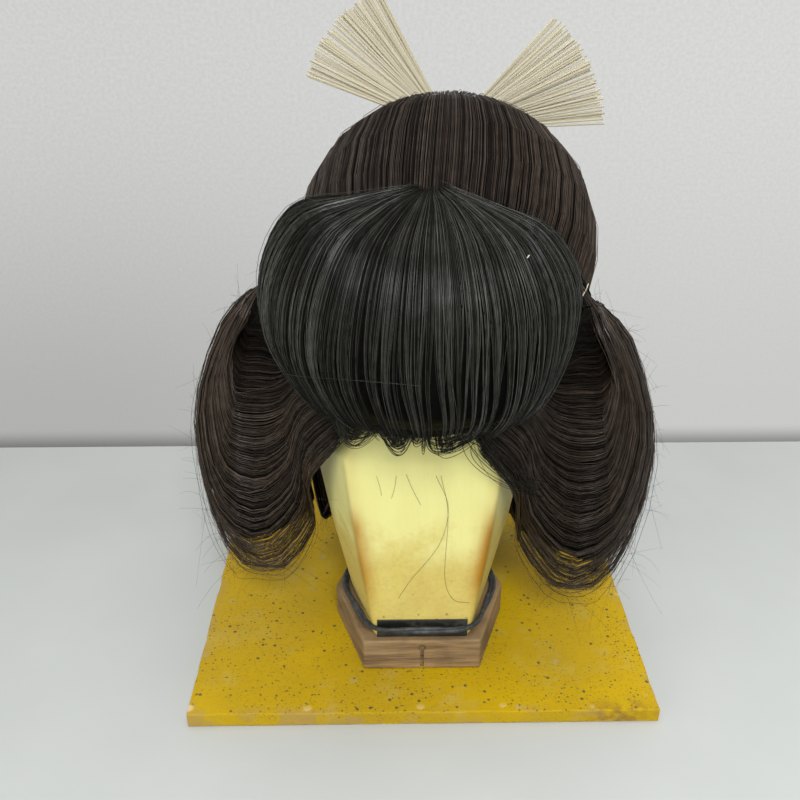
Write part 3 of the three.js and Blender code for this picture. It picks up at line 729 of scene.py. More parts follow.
def combedStrands(surface, side, comb):
    random = np.random.default_rng(comb["seed"])
    count, points = comb["count"], comb["points"]
    start = (np.arange(count) + random.uniform(0, 1, count)) / count
    begin = comb["reach"][0] + random.uniform(0, 1, count) * comb["ragged"][0]
    end = comb["reach"][1] - random.uniform(0, 1, count) ** combing["endBias"] * comb["ragged"][1]
    t = lerp(begin[:, None], end[:, None], np.linspace(0, 1, points)[None])
    across = np.repeat(start[:, None], points, 1)
    lift = np.repeat(-comb["layer"] * random.uniform(0, 1, count)[:, None], points, 1)
    tone = np.clip(random.normal(*comb["tone"], count), combing["leastTone"], 1)[:, None]
    for level in comb["levels"]:
        edges = lockEdges(random, level["locks"])
        lock = np.clip(np.searchsorted(edges, start, side="right") - 1, 0, level["locks"] - 1)
        middle, half = (edges[lock] + edges[lock + 1]) / 2, (edges[lock + 1] - edges[lock]) / 2
        gather = smooth(t, *level["from"])
        if "until" in level:
            gather = gather * (1 - smooth(t, *level["until"]))
        if "rim" in level:
            gather = gather * smooth(start, *level["rim"])[:, None]
        pull = level["pull"] * random.uniform(*combing["pulls"], level["locks"])
        pull = np.minimum(pull, combing["mostPull"])[lock]
        across = lerp(across, middle[:, None], pull[:, None] * gather)
        swell = 1 - ((start - middle) / half) ** 2
        rise = level["height"] * random.uniform(*combing["heights"], level["locks"])[lock] * swell
        lift = lift + rise[:, None] * gather
        tone = tone * random.uniform(*level["shade"], level["locks"])[lock][:, None]
    stray = random.uniform(0, 1, (count, 1)) < comb["stray"]
    for turns in (1, 2):
        sway = random.normal(0, comb["wander"], (count, 1)) * np.where(stray, combing["strayWander"], 1.0)
        phase = random.uniform(0, math.tau, (count, 1))
        across = across + sway * np.sin(combing["waves"] * turns * t + phase)
    lift = lift + np.where(stray, comb["layer"] + combing["strayLift"], 0.0)
    low, high = comb["span"]
    flatAcross, flatT = lerp(low, high, across).ravel(), t.ravel()
    normal = normalAt(surface, side, flatAcross, flatT)
    paths = (surface(flatAcross, flatT) + normal * lift.reshape(-1, 1)).reshape(count, points, 3)
    # painted shade: strands lying deeper under the others are coloured darker, as the shade between strands
    paintedDepthShade = lerp(*combing["paintedDepthShade"], smooth(lift, -comb["layer"], combing["fullTintAt"]))
    tint = np.clip(tone * paintedDepthShade, 0, 1)
    # painted sheen: a painted highlight band about a third of the way along the strand, with painted shade
    # towards its lower end
    if "paintedSheen" in comb:  # brightness by place along the strand
        tint = tint * np.interp(t, *comb["paintedSheen"])
    if "shadow" in comb:  # strands deep in a pocket stay dark
        tint = tint * lerp(comb["shadow"]["tint"], 1.0, smooth(start, *comb["shadow"]["across"]))[:, None]
    tip = smooth(t, end[:, None] - combing["tipLength"], end[:, None] + combing["tipPast"])
    taper = random.uniform(*combing["girths"], (count, 1)) * (1 - combing["tipLoss"] * tip)
    return onBoard(paths), taper, tint


def strandsOn(name, surface, side, comb, material):
    strandPiece(name, combedStrands(surface, side, comb), comb["thickness"], material)


# Loose hairs: single hairs that leave a sheet near its edge, in tufts that stand with each sheet
flyaways = {
    "seed": 51, "points": 14, "thickness": 0.085, "girth": 1.1, "tipLoss": 0.6, "tints": (0.1, 0.7),
    "standOff": 0.7, "bends": (0.15, 0.7), "farthest": 167.0, "lowest": 14.0,
}


def looseHairs(name, surface, side, tuft, seed, across, material):
    count, tiny = tuft["count"], 1e-6
    random = np.random.default_rng(flyaways["seed"] + seed)
    a, b = random.uniform(*across, count), random.uniform(*tuft["t"], count)
    root = surface(a, b)
    along, outward = (unit(measure(surface, a, b, edgeStep)) for measure in (alongAt, acrossAt))
    normal = normalAt(surface, side, a, b)
    length = random.uniform(*tuft["lengths"], (count, 1, 1))
    s = np.linspace(0, 1, flyaways["points"])[None, :, None]
    way = along * random.choice((-1.0, 1.0), (count, 1))
    way = way + outward * random.uniform(0, tuft["spread"], (count, 1))
    way = unit(way + normal * random.uniform(0, flyaways["standOff"], (count, 1)))
    curl = unit(random.normal(0, 1, (count, 3)))
    bend = random.uniform(*flyaways["bends"], (count, 1, 1))
    stray = length * (way[:, None] * s + curl[:, None] * bend * s * s)
    stray[..., 2] -= (length * tuft["sag"] * s * s)[..., 0]
    room = flyaways["farthest"] - np.abs(root[:, 0])  # a hair that would reach too far is drawn shorter
    far = np.maximum(np.abs(root[:, None, 0] + stray[..., 0]).max(1) - np.abs(root[:, 0]), tiny)
    depth = np.maximum(root[:, 2] - (root[:, None] + stray)[..., 2].min(1), tiny)
    fall = (root[:, 2] - flyaways["lowest"]) / depth
    stray *= np.clip(np.minimum(room / far, fall), 0, 1)[:, None, None]
    taper = flyaways["girth"] - flyaways["tipLoss"] * s[..., 0]
    strands = onBoard(root[:, None] + stray), taper, random.uniform(*flyaways["tints"], (count, 1))
    strandPiece(name, strands, flyaways["thickness"], material)


def edgeTufts(name, surface, side, tufts, material):  # one tuft at each side edge of a sheet
    for end, (hand, across) in enumerate(tufts["edges"].items()):
        looseHairs(name + "_fuzz_" + hand, surface, side, tufts, tufts["seed"] + end, across, material)


forelockShell = {"columns": 101, "rows": 36, "sink": (2.0, 7.5), "reach": 1.0}
forelockComb = {
    "seed": 3, "count": 1460, "points": 21, "thickness": 0.155, "span": (0.0, 1.0),
    "reach": (0.05, 0.73), "ragged": (0.02, 0.14),
    "wander": 0.0014, "layer": 1.5, "stray": 0.05, "tone": (0.46, 0.4),
    # painted highlight band and painted shade, by place along the strand
    "paintedSheen": ((0.05, 0.2, 0.31, 0.36, 0.43, 0.5, 0.6, 0.75),
              (0.62, 0.72, 0.82, 1.15, 1.15, 0.85, 0.66, 0.45)),
    "levels": [{"locks": 300, "pull": 0.45, "height": 0.3, "from": (0.0, 0.2), "shade": (0.7, 1.2)},
               {"locks": 120, "pull": 0.24, "height": 0.5, "from": (0.06, 0.3), "shade": (0.7, 1.2)},
               {"locks": 36, "pull": 0.55, "height": 1.6, "from": (0.36, 0.58), "shade": (0.55, 1.25)},
               {"locks": 14, "pull": 0.26, "height": 1.4, "from": (0.38, 0.6), "shade": (0.75, 1.15)}],
}
forelockTufts = {
    "seed": 20, "count": 40, "t": (0.12, 0.5), "sag": 0.1, "spread": 0.4, "lengths": (5.0, 16.0),
    "edges": {"left": (0.0, 0.14), "right": (0.86, 1.0)},
}
# Fringe: bags of hair loops hung from the forelock's lower edge, by place across it, and drop below it
fringe = {
    "seed": 31, "points": 17, "t": 0.66, "thickness": 0.18, "girths": (0.7, 1.3), "tints": (0.0, 0.3),
    "inset": 0.42, "lowest": (0.2, 0.8), "drops": (0.25, 1.0), "lifts": (-4.0, 0.8), "roundness": 0.8,
    "bags": [{"left": 0.22, "low": 0.315, "right": 0.41, "drop": 19.0, "hairs": 60},
             {"left": 0.38, "low": 0.455, "right": 0.5, "drop": 18.0, "hairs": 60},
             {"left": 0.47, "low": 0.505, "right": 0.54, "drop": 11.0, "hairs": 22},
             {"left": 0.515, "low": 0.524, "right": 0.533, "drop": 19.0, "hairs": 6},
             {"left": 0.52, "low": 0.565, "right": 0.71, "drop": 18.0, "hairs": 74},
             {"left": 0.66, "low": 0.73, "right": 0.8, "drop": 9.0, "hairs": 24},
             {"left": 0.12, "low": 0.18, "right": 0.25, "drop": 9.0, "hairs": 20}],
    # hairs swept out under the wings, in wig millimetres
    "wisps": [{"route": [(-34, -83, 199), (-47, -78, 187), (-62, -67, 168)], "hairs": 16},
              {"route": [(38, -81, 198), (53, -74, 172), (76, -58, 148)], "hairs": 26}],
    "wispScatter": (5, 2, 4),
}


def fringeLoops():
    random = np.random.default_rng(fringe["seed"])
    s = np.linspace(0, 1, fringe["points"])[None]
    paths = []
    for bag in fringe["bags"]:
        count = bag["hairs"]
        width = bag["right"] - bag["left"]
        inset = random.uniform(0, fringe["inset"], (count, 2)) * width
        left, right = bag["left"] + inset[:, :1], bag["right"] - inset[:, 1:]
        lowest = np.clip((bag["low"] - left) / (right - left), *fringe["lowest"])
        swing = np.sin(math.pi * s ** (math.log(0.5) / np.log(lowest)))
        depth = bag["drop"] * random.uniform(*fringe["drops"], (count, 1)) * ((right - left) / width) ** 0.5
        across = lerp(left, right, s).ravel()
        t = np.full(across.shape, fringe["t"])
        normal = normalAt(forelockAt, -1, across, t)
        lift = np.repeat(random.uniform(*fringe["lifts"], count), fringe["points"])[:, None]
        hung = (forelockAt(across, t) + normal * lift).reshape(count, -1, 3)
        hung[..., 2] -= depth * swing ** fringe["roundness"]
        paths.append(hung)
    for wisp in fringe["wisps"]:
        count = wisp["hairs"]
        start, bend, end = (np.array(place) + random.normal(0, 1, (count, 3)) * fringe["wispScatter"]
                            for place in wisp["route"])
        mid = (2 * bend - (start + end) / 2)[:, None]
        w = s[..., None]
        paths.append((1 - w) ** 2 * start[:, None] + 2 * w * (1 - w) * mid + w * w * end[:, None])
    paths = np.concatenate(paths)
    girths, tints = (random.uniform(*fringe[key], (len(paths), 1)) for key in ("girths", "tints"))
    return onBoard(paths), girths, tints


def makeForelock(material, packed):
    packedShell("forelock", forelockAt, -1, forelockShell, packed)
    strandsOn("forelock_strands", forelockAt, -1, forelockComb, material)
    strandPiece("forelock_fringe", fringeLoops(), fringe["thickness"], material)
    edgeTufts("forelock", forelockAt, -1, forelockTufts, material)


crownShell = {"columns": 132, "rows": 30, "sink": 1.8}
crownComb = {
    "seed": 5, "count": 1600, "points": 16, "thickness": 0.18, "span": (0.14, 0.86),
    "reach": (0.0, 0.985), "ragged": (0.03, 0.0),
    "wander": 0.0007, "layer": 1.0, "stray": 0.02, "tone": (0.52, 0.24),
    "levels": [{"locks": 300, "pull": 0.45, "height": 0.3, "from": (0.0, 0.15), "shade": (0.75, 1.2)},
               {"locks": 110, "pull": 0.14, "height": 0.5, "from": (0.0, 0.2), "shade": (0.85, 1.1)},
               {"locks": 40, "pull": 0.06, "height": 0.8, "from": (0.05, 0.3), "shade": (0.9, 1.1)}],
}
crownBackComb = dict(crownComb, seed=6, count=330, thickness=0.4, span=(-0.15, 0.15), levels=[
    {"locks": 70, "pull": 0.3, "height": 0.3, "from": (0.0, 0.15), "shade": (0.75, 1.2)},
    {"locks": 26, "pull": 0.1, "height": 0.5, "from": (0.0, 0.2), "shade": (0.85, 1.1)}])


def makeCrown(material, packed):
    turns = np.linspace(-180, 180, crownShell["columns"], endpoint=False)
    around, t = np.meshgrid(turns, np.linspace(0, 1, crownShell["rows"]))
    fromFace = lerp(rimAt(around), 180, t)
    direction = crownDirection(around, fromFace)
    outer = crownPoint(around, fromFace, -crownShell["sink"])
    inner = head["centre"] + direction * reachTo(head, direction, 0.0)[..., None]
    mesh = wallMesh("crown", onBoard(outer), onBoard(inner), ring=True, capped=True)
    meshPiece("crown", mesh, packed, ("crown",))
    strandsOn("crown_strands", crownAt, 1, crownComb, material)
    strandsOn("crown_back_strands", crownAt, 1, crownBackComb, material)


wingShell = {"columns": 66, "rows": 60, "sink": (1.9, 1.9), "reach": 0.97,
             "opening": {"at": 0.36, "width": 0.09, "cut": 0.13}}  # light comes through the lowest strands
wingComb = {
    "seed": 8, "count": 1000, "points": 22, "thickness": 0.145, "span": (0.0, 1.03),
    "reach": (0.0, 0.985), "ragged": (0.03, 0.0),
    "wander": 0.004, "layer": 1.4, "stray": 0.05, "tone": (0.46, 0.4),
    "shadow": {"tint": 0.12, "across": (0.12, 0.48)},
    "levels": [{"locks": 220, "pull": 0.4, "height": 0.3, "from": (0.0, 0.1), "shade": (0.65, 1.25)},
               {"locks": 80, "pull": 0.2, "height": 0.5, "from": (0.0, 0.12), "shade": (0.75, 1.15)},
               {"locks": 24, "pull": 0.08, "height": 0.8, "from": (0.02, 0.3), "shade": (0.85, 1.1)},
               {"locks": 46, "pull": 0.8, "height": 0.4, "from": (0.08, 0.2), "until": (0.38, 0.5),
                "rim": (0.7, 0.82), "shade": (0.8, 1.1)}],
}
wingBackComb = dict(wingComb, seed=14, count=300, points=18, thickness=0.3, span=(0.0, 0.84))
wingLoops = {
    "seed": 41, "count": 36, "points": 20, "thickness": 0.13, "girths": (0.7, 1.2), "tints": (0.1, 0.6),
    "across": (0.9, 1.04), "from": (0.12, 0.38), "to": (0.44, 0.82),
    "stand": 5.0, "farthest": 11.0, "bow": 1.3, "tilt": 0.35,
}
wingTufts = {
    "fuzz": {"seed": 0, "count": 160, "across": (0.86, 1.03), "t": (0.22, 0.86),
             "sag": 0.15, "spread": 1.0, "lengths": (5.0, 26.0)},
    "flyaways": {"seed": 5, "count": 24, "across": (0.9, 1.03), "t": (0.3, 0.62),
                 "sag": 0.7, "spread": 0.8, "lengths": (22.0, 46.0)},
}


def rimLoops(hand):  # whole hairs that stand off the rim of a wing
    random = np.random.default_rng(wingLoops["seed"] + hand)
    count, points = wingLoops["count"], wingLoops["points"]
    s = np.linspace(0, 1, points)[None]
    begin, end, across = (random.uniform(*wingLoops[key], (count, 1)) for key in ("from", "to", "across"))
    t, across = lerp(begin, end, s), np.repeat(across, points, 1)
    flatAcross, flatT = across.ravel(), t.ravel()
    surface = wingAt(hand)
    outward = unit(acrossAt(surface, flatAcross, flatT, edgeStep))
    normal = normalAt(surface, hand, flatAcross, flatT)
    stand = random.exponential(wingLoops["stand"], (count, 1)).clip(0, wingLoops["farthest"])
    bulge = stand * np.sin(math.pi * s) ** wingLoops["bow"]
    tilt = random.normal(0, wingLoops["tilt"], (count, 1)) * bulge
    paths = surface(flatAcross, flatT) + outward * bulge.reshape(-1, 1) + normal * tilt.reshape(-1, 1)
    tints, girths = (random.uniform(*wingLoops[key], (count, 1)) for key in ("tints", "girths"))
    return onBoard(paths.reshape(count, points, 3)), girths, tints


def makeWings(material, packed):
    for name, hand in (("side_wing_left", -1), ("side_wing_right", 1)):
        front, back = wingAt(hand), behind(wingAt(hand), hand, hairWall)
        frontComb, backComb = (dict(comb, seed=comb["seed"] + hand) for comb in (wingComb, wingBackComb))
        packedShell(name, front, hand, wingShell, packed)
        strandsOn(name + "_strands", front, hand, frontComb, material)
        strandsOn(name + "_back", back, -hand, backComb, material)
        strandPiece(name + "_loops", rimLoops(hand), wingLoops["thickness"], material)
        for kind, tuft in wingTufts.items():
            looseHairs(name + "_" + kind, front, hand, tuft, tuft["seed"] + hand, tuft["across"], material)


napeShell = {"columns": 90, "rows": 40, "sink": (2.2, 2.2), "reach": 1.0}
napeComb = {
    "seed": 11, "count": 500, "points": 19, "thickness": 0.5, "span": (0.0, 1.0),
    "reach": (0.0, 0.97), "ragged": (0.02, 0.06),
    "wander": 0.002, "layer": 0.8, "stray": 0.04, "tone": (0.42, 0.14),
    "levels": [{"locks": 130, "pull": 0.25, "height": 0.3, "from": (0.0, 0.2), "shade": (0.7, 1.2)},
               {"locks": 40, "pull": 0.12, "height": 0.6, "from": (0.0, 0.3), "shade": (0.8, 1.15)},
               {"locks": 14, "pull": 0.08, "height": 1.2, "from": (0.2, 0.6), "shade": (0.85, 1.1)}],
}
napeInsideComb = dict(napeComb, seed=12, count=230, points=14, thickness=0.6)
napeTufts = {
    "seed": 30, "count": 70, "t": (0.4, 0.92), "sag": 0.4, "spread": 0.6, "lengths": (6.0, 22.0),
    "edges": {"left": (0.0, 0.1), "right": (0.9, 1.0)},
}


def makeNape(material, packed):
    packedShell("nape_hair", napeAt, 1, napeShell, packed)
    strandsOn("nape_strands", napeAt, 1, napeComb, material)
    strandsOn("nape_inside", behind(napeAt, 1, hairWall), -1, napeInsideComb, material)
    edgeTufts("nape", napeAt, 1, napeTufts, material)


# Knot, paper tie and paper fans
bun = {"halfLength": 34.0, "lobeRadius": 14.5, "waistRadius": 10.0, "waistWidth": 0.22, "rise": 10.0,
       "ends": 0.999}
bunShell = {"columns": 72, "rows": 40, "share": 0.95}
tie = {"halfWidth": 4.0, "wall": 2.2, "turns": 5, "points": 48, "sides": 8, "wobble": 0.25,
       "wobbleStep": 2.3, "tints": (0.5, 0.95)}
fans = {"paper_fan_left": {"from": 119.0, "to": 161.0, "fromLength": 111.0, "toLength": 116.0, "seed": 2},
        "paper_fan_right": {"from": 4.0, "to": 48.0, "fromLength": 113.0, "toLength": 106.0, "seed": 7}}
fan = {
    "x": 7.0, "z": 322.0, "cords": 58, "cordRadius": 0.85, "depth": 0.9, "rootThickness": 5.0,
    "sides": 7, "parts": 3, "middle": 0.52, "sway": 0.009, "shortest": 0.965, "tints": (0.3, 0.9),
}

knotPole = crownPoint(np.array([0.0]), np.array([180.0]))[0] + knotAxis * bun["rise"]


def bunRadius(place):
    waist = bun["lobeRadius"] - bun["waistRadius"]
    lobe = bun["lobeRadius"] * np.sqrt(np.maximum(0, 1 - place * place))
    return lobe - waist * np.exp(-((place / bun["waistWidth"]) ** 2))


tieInner = float(bunRadius(np.array([tie["halfWidth"] / bun["halfLength"]]))[0]) + seatGap
tieOuter = tieInner + tie["wall"]


def bunAt(across, t):  # across goes round the bun, t from its left end to its right end
    place = lerp(-bun["ends"], bun["ends"], t)
    angle = math.tau * across
    radius = bunRadius(place)
    ring = [place * bun["halfLength"], radius * np.cos(angle), radius * np.sin(angle)]
    return knotPole + np.stack(ring, -1)


bunComb = {
    "seed": 21, "count": 260, "points": 16, "thickness": 0.3, "span": (0.0, 1.0),
    "reach": (0.005, 0.995), "ragged": (0.0, 0.0),
    "wander": 0.004, "layer": 0.5, "stray": 0.02, "tone": (0.5, 0.2),
    "levels": [{"locks": 70, "pull": 0.4, "height": 0.2, "from": (0.0, 0.1), "shade": (0.5, 1.3)},
               {"locks": 14, "pull": 0.2, "height": 0.5, "from": (0.0, 0.2), "shade": (0.6, 1.2)}],
}


def stackMesh(name, rings, attributes):
    rows, columns = rings.shape[:2]
    at = lambda row, column: row * columns + column % columns
    faces = [(at(r, c), at(r, c + 1), at(r + 1, c + 1), at(r + 1, c))
             for r in range(rows - 1) for c in range(columns)]
    faces += [tuple(at(0, c) for c in range(columns))[::-1], tuple(at(rows - 1, c) for c in range(columns))]
    return gridMesh(name, rings, faces, attributes)


def makeKnot(material, packed):
    columns, rows = bunShell["columns"], bunShell["rows"]
    across, t = np.meshgrid(np.linspace(0, 1, columns, endpoint=False), np.linspace(0, 1, rows))
    skin = bunAt(across.ravel(), t.ravel()).reshape(rows, columns, 3)
    skin[..., 1:] = knotPole[1:] + (skin[..., 1:] - knotPole[1:]) * bunShell["share"]
    meshPiece("knot", stackMesh("knot", onBoard(skin), {}), packed, ("knot",))
    strandsOn("knot_strands", bunAt, 1, bunComb, material)


def makeTie(material):
    angle = np.linspace(0, math.tau, tie["points"], endpoint=False)
    gauge = 2 * tie["halfWidth"] / tie["turns"]
    rings = []
    for turn in range(tie["turns"]):
        x = -tie["halfWidth"] + gauge * (turn + 0.5) + tie["wobble"] * np.sin(angle + turn)
        radius = (tieInner + tieOuter) / 2 + tie["wobble"] * math.sin(turn * tie["wobbleStep"])
        rings.append(knotPole + np.stack([x, radius * np.cos(angle), radius * np.sin(angle)], -1))
    strands = onBoard(np.stack(rings)), 1.0, np.linspace(*tie["tints"], tie["turns"])[:, None]
    strandPiece("paper_tie", strands, gauge * 0.5, material, tie["sides"], True, ("paper_tie",))


def fanTree():
    nodes = Nodes("splayedCords", {
        "Cords": "NodeSocketInt", "From": "NodeSocketFloat", "To": "NodeSocketFloat",
        "First Length": "NodeSocketFloat", "Last Length": "NodeSocketFloat", "Radius": "NodeSocketFloat",
        "Depth": "NodeSocketFloat", "Seed": "NodeSocketInt", "Material": "NodeSocketMaterial"})
    index = nodes.node("GeometryNodeInputIndex")
    last = nodes.math("SUBTRACT", nodes.given("Cords"), 1.0)
    share = nodes.math("DIVIDE", index, last)

    def chance(low, high, shift):
        seed = nodes.math("ADD", nodes.given("Seed"), float(shift))
        return nodes.node("FunctionNodeRandomValue", {"data_type": "FLOAT"},
                          {"Min_001": low, "Max_001": high, "ID": index, "Seed": seed}, "Value_001")

    def blend(a, b):
        return nodes.math("ADD", a, nodes.math("MULTIPLY", nodes.math("SUBTRACT", b, a), share))

    points = nodes.node("GeometryNodePoints", None, {"Count": nodes.given("Cords")})
    outward = nodes.math("MULTIPLY", nodes.given("Depth"), chance(-1.0, 1.0, 11))
    spot = nodes.node("ShaderNodeCombineXYZ", None, {"Y": outward})
    points = nodes.node("GeometryNodeSetPosition", None, {"Geometry": points, "Offset": spot})
    sway = chance(-fan["sway"], fan["sway"], 23)
    angle = nodes.math("ADD", blend(nodes.given("From"), nodes.given("To")), sway)
    turn = nodes.node("FunctionNodeAxisAngleToRotation", None, {"Axis": (0, -1, 0), "Angle": angle})
    length = nodes.math("MULTIPLY", blend(nodes.given("First Length"), nodes.given("Last Length")),
                        chance(fan["shortest"], 1.0, 37))
    size = nodes.node("ShaderNodeCombineXYZ", None, {"X": length, "Y": 1.0, "Z": 1.0})
    stick = nodes.node("GeometryNodeMeshCylinder", None, {
        "Vertices": fan["sides"], "Side Segments": fan["parts"],
        "Radius": nodes.given("Radius"), "Depth": 1.0})
    stick = nodes.node("GeometryNodeTransform", None, {
        "Geometry": stick, "Translation": (fan["middle"], 0, 0), "Rotation": (0, math.pi / 2, 0)})
    cords = nodes.node("GeometryNodeInstanceOnPoints", None, {
        "Points": points, "Instance": stick, "Rotation": turn, "Scale": size})
    cords = nodes.node("GeometryNodeStoreNamedAttribute", {"data_type": "FLOAT", "domain": "INSTANCE"}, {
        "Geometry": cords, "Name": "tint", "Value": chance(*fan["tints"], 41)})
    return nodes.finish(cords, nodes.given("Material"))


def makeFans(material):
    tree = fanTree()
    apex = np.array([fan["x"], knotPole[1] + tieOuter + seatGap + fan["rootThickness"] / 2, fan["z"]])
    for name, spread in fans.items():
        mesh = grow(name, bpy.data.meshes.new(name), tree, {
            "Cords": fan["cords"], "From": math.radians(spread["from"]), "To": math.radians(spread["to"]),
            "First Length": spread["fromLength"], "Last Length": spread["toLength"],
            "Radius": fan["cordRadius"], "Depth": fan["depth"], "Seed": spread["seed"], "Material": material})
        points = np.empty(len(mesh.vertices) * 3)
        mesh.vertices.foreach_get("co", points)
        mesh.vertices.foreach_set("co", onBoard(points.reshape(-1, 3) + apex).ravel())
        mesh.update()
        meshPiece(name, mesh, material, (name,))


# Stand
board = {
    "width": 303.0, "depth": 303.0, "thickness": 10.0, "bevel": 0.9, "bevelSteps": 2, "bevelShape": 0.6,
    "cuts": 40, "wornRim": 3.0, "wornCorner": {"x": 128.0, "halfWidth": 30.0, "depth": 13.0},
    "nicks": {"scale": 0.11, "least": 0.05, "depth": 1.6, "aboveFloor": 0.5},
}
# The foot and the label keep their solids, with the edges longer than these eased
foot = {"height": 24.0, "ease": 1.3, "edge": 20.0}
label = {"thickness": 0.8, "ease": 0.2, "edge": 10.0}
post = {
    # rise, front width, widest, front y, back y
    "sections": [(0, 63, 97, -55, 55), (60, 79, 123, -56, 55),
                 (135, 96, 148, -56, 55), (168, 72, 132, -46, 58)],
    "top": (40, 70, -11, 65), "rounding": 3.2, "perSide": 16, "perCorner": 5,
    "levels": 44, "footLevels": [0.5, 1.2], "footSlope": 0.6,  # the foot is eased up to its last level
    "uneven": 0.35, "unevenScale": (0.02, 0.02, 0.015), "fullRise": 150,
    "stainWidth": 6.2, "stainSway": 1.5, "swayScale": 0.03,
}
postBottom = board["thickness"] + 2 * seatGap + foot["height"]
loop = {
    "radius": 2.1, "ledge": 7.0, "frontGap": 1.5, "frontLift": 6.0, "rounding": 16.0, "perSide": 14,
    "perCorner": 8, "cord": 1.45, "sides": 10, "apart": 0.95, "twists": 3, "clear": 0.2,
}


def makeBoard(material):
    work = bmesh.new()
    bmesh.ops.create_cube(work, size=1.0)
    wide, deep, thick = board["width"], board["depth"], board["thickness"]
    for vert in work.verts:
        vert.co = Vector((vert.co.x * wide, vert.co.y * deep, (vert.co.z + 0.5) * thick))
    bmesh.ops.bevel(work, geom=work.edges[:], offset=board["bevel"], segments=board["bevelSteps"],
                    profile=board["bevelShape"], affect="EDGES")
    longEdges = [e for e in work.edges if e.calc_length() > thick]
    bmesh.ops.subdivide_edges(work, edges=longEdges, cuts=board["cuts"], use_grid_fill=True)
    half = np.array([wide, deep]) / 2
    worn, nicks = board["wornCorner"], board["nicks"]
    edge, corner = [], []
    for vert in work.verts:
        away = half[0] - abs(vert.co.x), half[1] - abs(vert.co.y)
        rim = max(0.0, 1 - min(away) / board["wornRim"])
        edge.append(rim)
        spot = Vector(((vert.co.x - worn["x"]) / worn["halfWidth"], (vert.co.y + half[1]) / worn["depth"]))
        corner.append(max(0.0, 1 - spot.length))
        if rim > 0 and vert.co.z > nicks["aboveFloor"]:
            nick = max(0.0, noise.noise(vert.co * nicks["scale"]) - nicks["least"]) * nicks["depth"] * rim
            for axis in (0, 1):
                if away[axis] < board["wornRim"]:
                    vert.co[axis] -= math.copysign(nick, vert.co[axis])
        vert.co *= mm
    mesh = meshFrom(work, "board")
    setAttribute(mesh, "edge", edge)
    setAttribute(mesh, "corner", corner)
    meshPiece("board", mesh, material, ("board",))


def hexagon(front, widest, frontY, backY):
    middle = (frontY + backY) / 2
    return np.array([(front / 2, frontY), (widest / 2, middle), (front / 2, backY),
                     (-front / 2, backY), (-widest / 2, middle), (-front / 2, frontY)])


def roundedRing(corners, rounding, perSide, perCorner):  # plan outline with softened corners
    count = len(corners)
    ring = []
    for index in range(count):
        before, here, after = corners[index - 1], corners[index], corners[(index + 1) % count]
        start = here + (before - here) / np.linalg.norm(before - here) * rounding
        stop = here + (after - here) / np.linalg.norm(after - here) * rounding
        for t in np.linspace(0, 1, perCorner):
            ring.append((1 - t) ** 2 * start + 2 * t * (1 - t) * here + t * t * stop)
        goal = after + (here - after) / np.linalg.norm(here - after) * rounding
        for t in np.linspace(0, 1, perSide + 2)[1:-1]:
            ring.append(lerp(stop, goal, t))
    return np.array(ring)


def hollowRoof(x, y):
    turn = -math.radians(wigPlace["turn"])
    px, py = x - wigPlace["x"], standY + y - wigPlace["y"]
    wx, wy = math.cos(turn) * px - math.sin(turn) * py, math.sin(turn) * px + math.cos(turn) * py
    flat = (wx / head["radii"][0]) ** 2 + ((wy - head["centre"][1]) / head["radii"][1]) ** 2
    return head["centre"][2] + head["radii"][2] * math.sqrt(1 - flat)


def makePost(material):
    seat = hexagon(*post["top"])
    seatZ = min(hollowRoof(x, y) for x, y in seat) - 2 * seatGap
    rises = np.array([s[0] for s in post["sections"]] + [seatZ - postBottom])
    sizes = np.array([s[1:] for s in post["sections"]] + [post["top"]], float)
    levels = np.linspace(0, rises[-1], post["levels"])
    levels = np.unique(np.concatenate([levels, rises, post["footLevels"]]))
    rings, ridge, rise = [], [], []
    for level in levels:
        size = [np.interp(level, rises, sizes[:, k]) for k in range(4)]
        shrink = max(0.0, post["footLevels"][-1] - level) * post["footSlope"]
        corners = hexagon(size[0] - shrink, size[1] - 2 * shrink, size[2] + shrink, size[3] - shrink)
        ring = roundedRing(corners, post["rounding"], post["perSide"], post["perCorner"])
        spots = np.column_stack([ring, np.full(len(ring), level)]) * post["unevenScale"]
        ring += np.array([noise.noise(Vector(spot)) for spot in spots])[:, None] * post["uneven"]
        sway = post["stainSway"] * noise.noise(Vector((level * post["swayScale"], 3, 1)))
        fronts = corners[0], corners[-1]  # the two ridges that face the front
        away = np.minimum(*(np.linalg.norm(ring - front - (sway, 0), axis=1) for front in fronts))
        ridge.append(np.exp(-(away / post["stainWidth"]) ** 2))
        rise.append(np.full(len(ring), level / post["fullRise"]))
        rings.append(np.column_stack([ring, np.full(len(ring), postBottom + level)]))
    mesh = stackMesh("post", onStand(np.array(rings)), {"ridge": np.array(ridge), "rise": np.array(rise)})
    meshPiece("post", mesh, material, ("post",))


easing = {"flat": 3, "sharp": 25, "steps": 3, "shape": 0.55}  # angles in degrees


def softenedNode(name, piece, material):  # the CAD solid with its long edges eased
    work = bmesh.new()
    work.from_mesh(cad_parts[name].data)
    bmesh.ops.remove_doubles(work, verts=work.verts, dist=mergeDistance)
    flat, sharp = math.radians(easing["flat"]), math.radians(easing["sharp"])
    bmesh.ops.dissolve_limit(work, angle_limit=flat, verts=work.verts, edges=work.edges)
    outerEdges = [e for e in work.edges if len(e.link_faces) == 2
                  and e.calc_length() > piece["edge"] * mm and e.calc_face_angle() > sharp]
    bmesh.ops.bevel(work, geom=outerEdges, offset=piece["ease"] * mm, segments=easing["steps"],
                    profile=easing["shape"], affect="EDGES")
    bmesh.ops.triangulate(work, faces=work.faces)
    meshPiece(name, meshFrom(work, name), material, (name,))


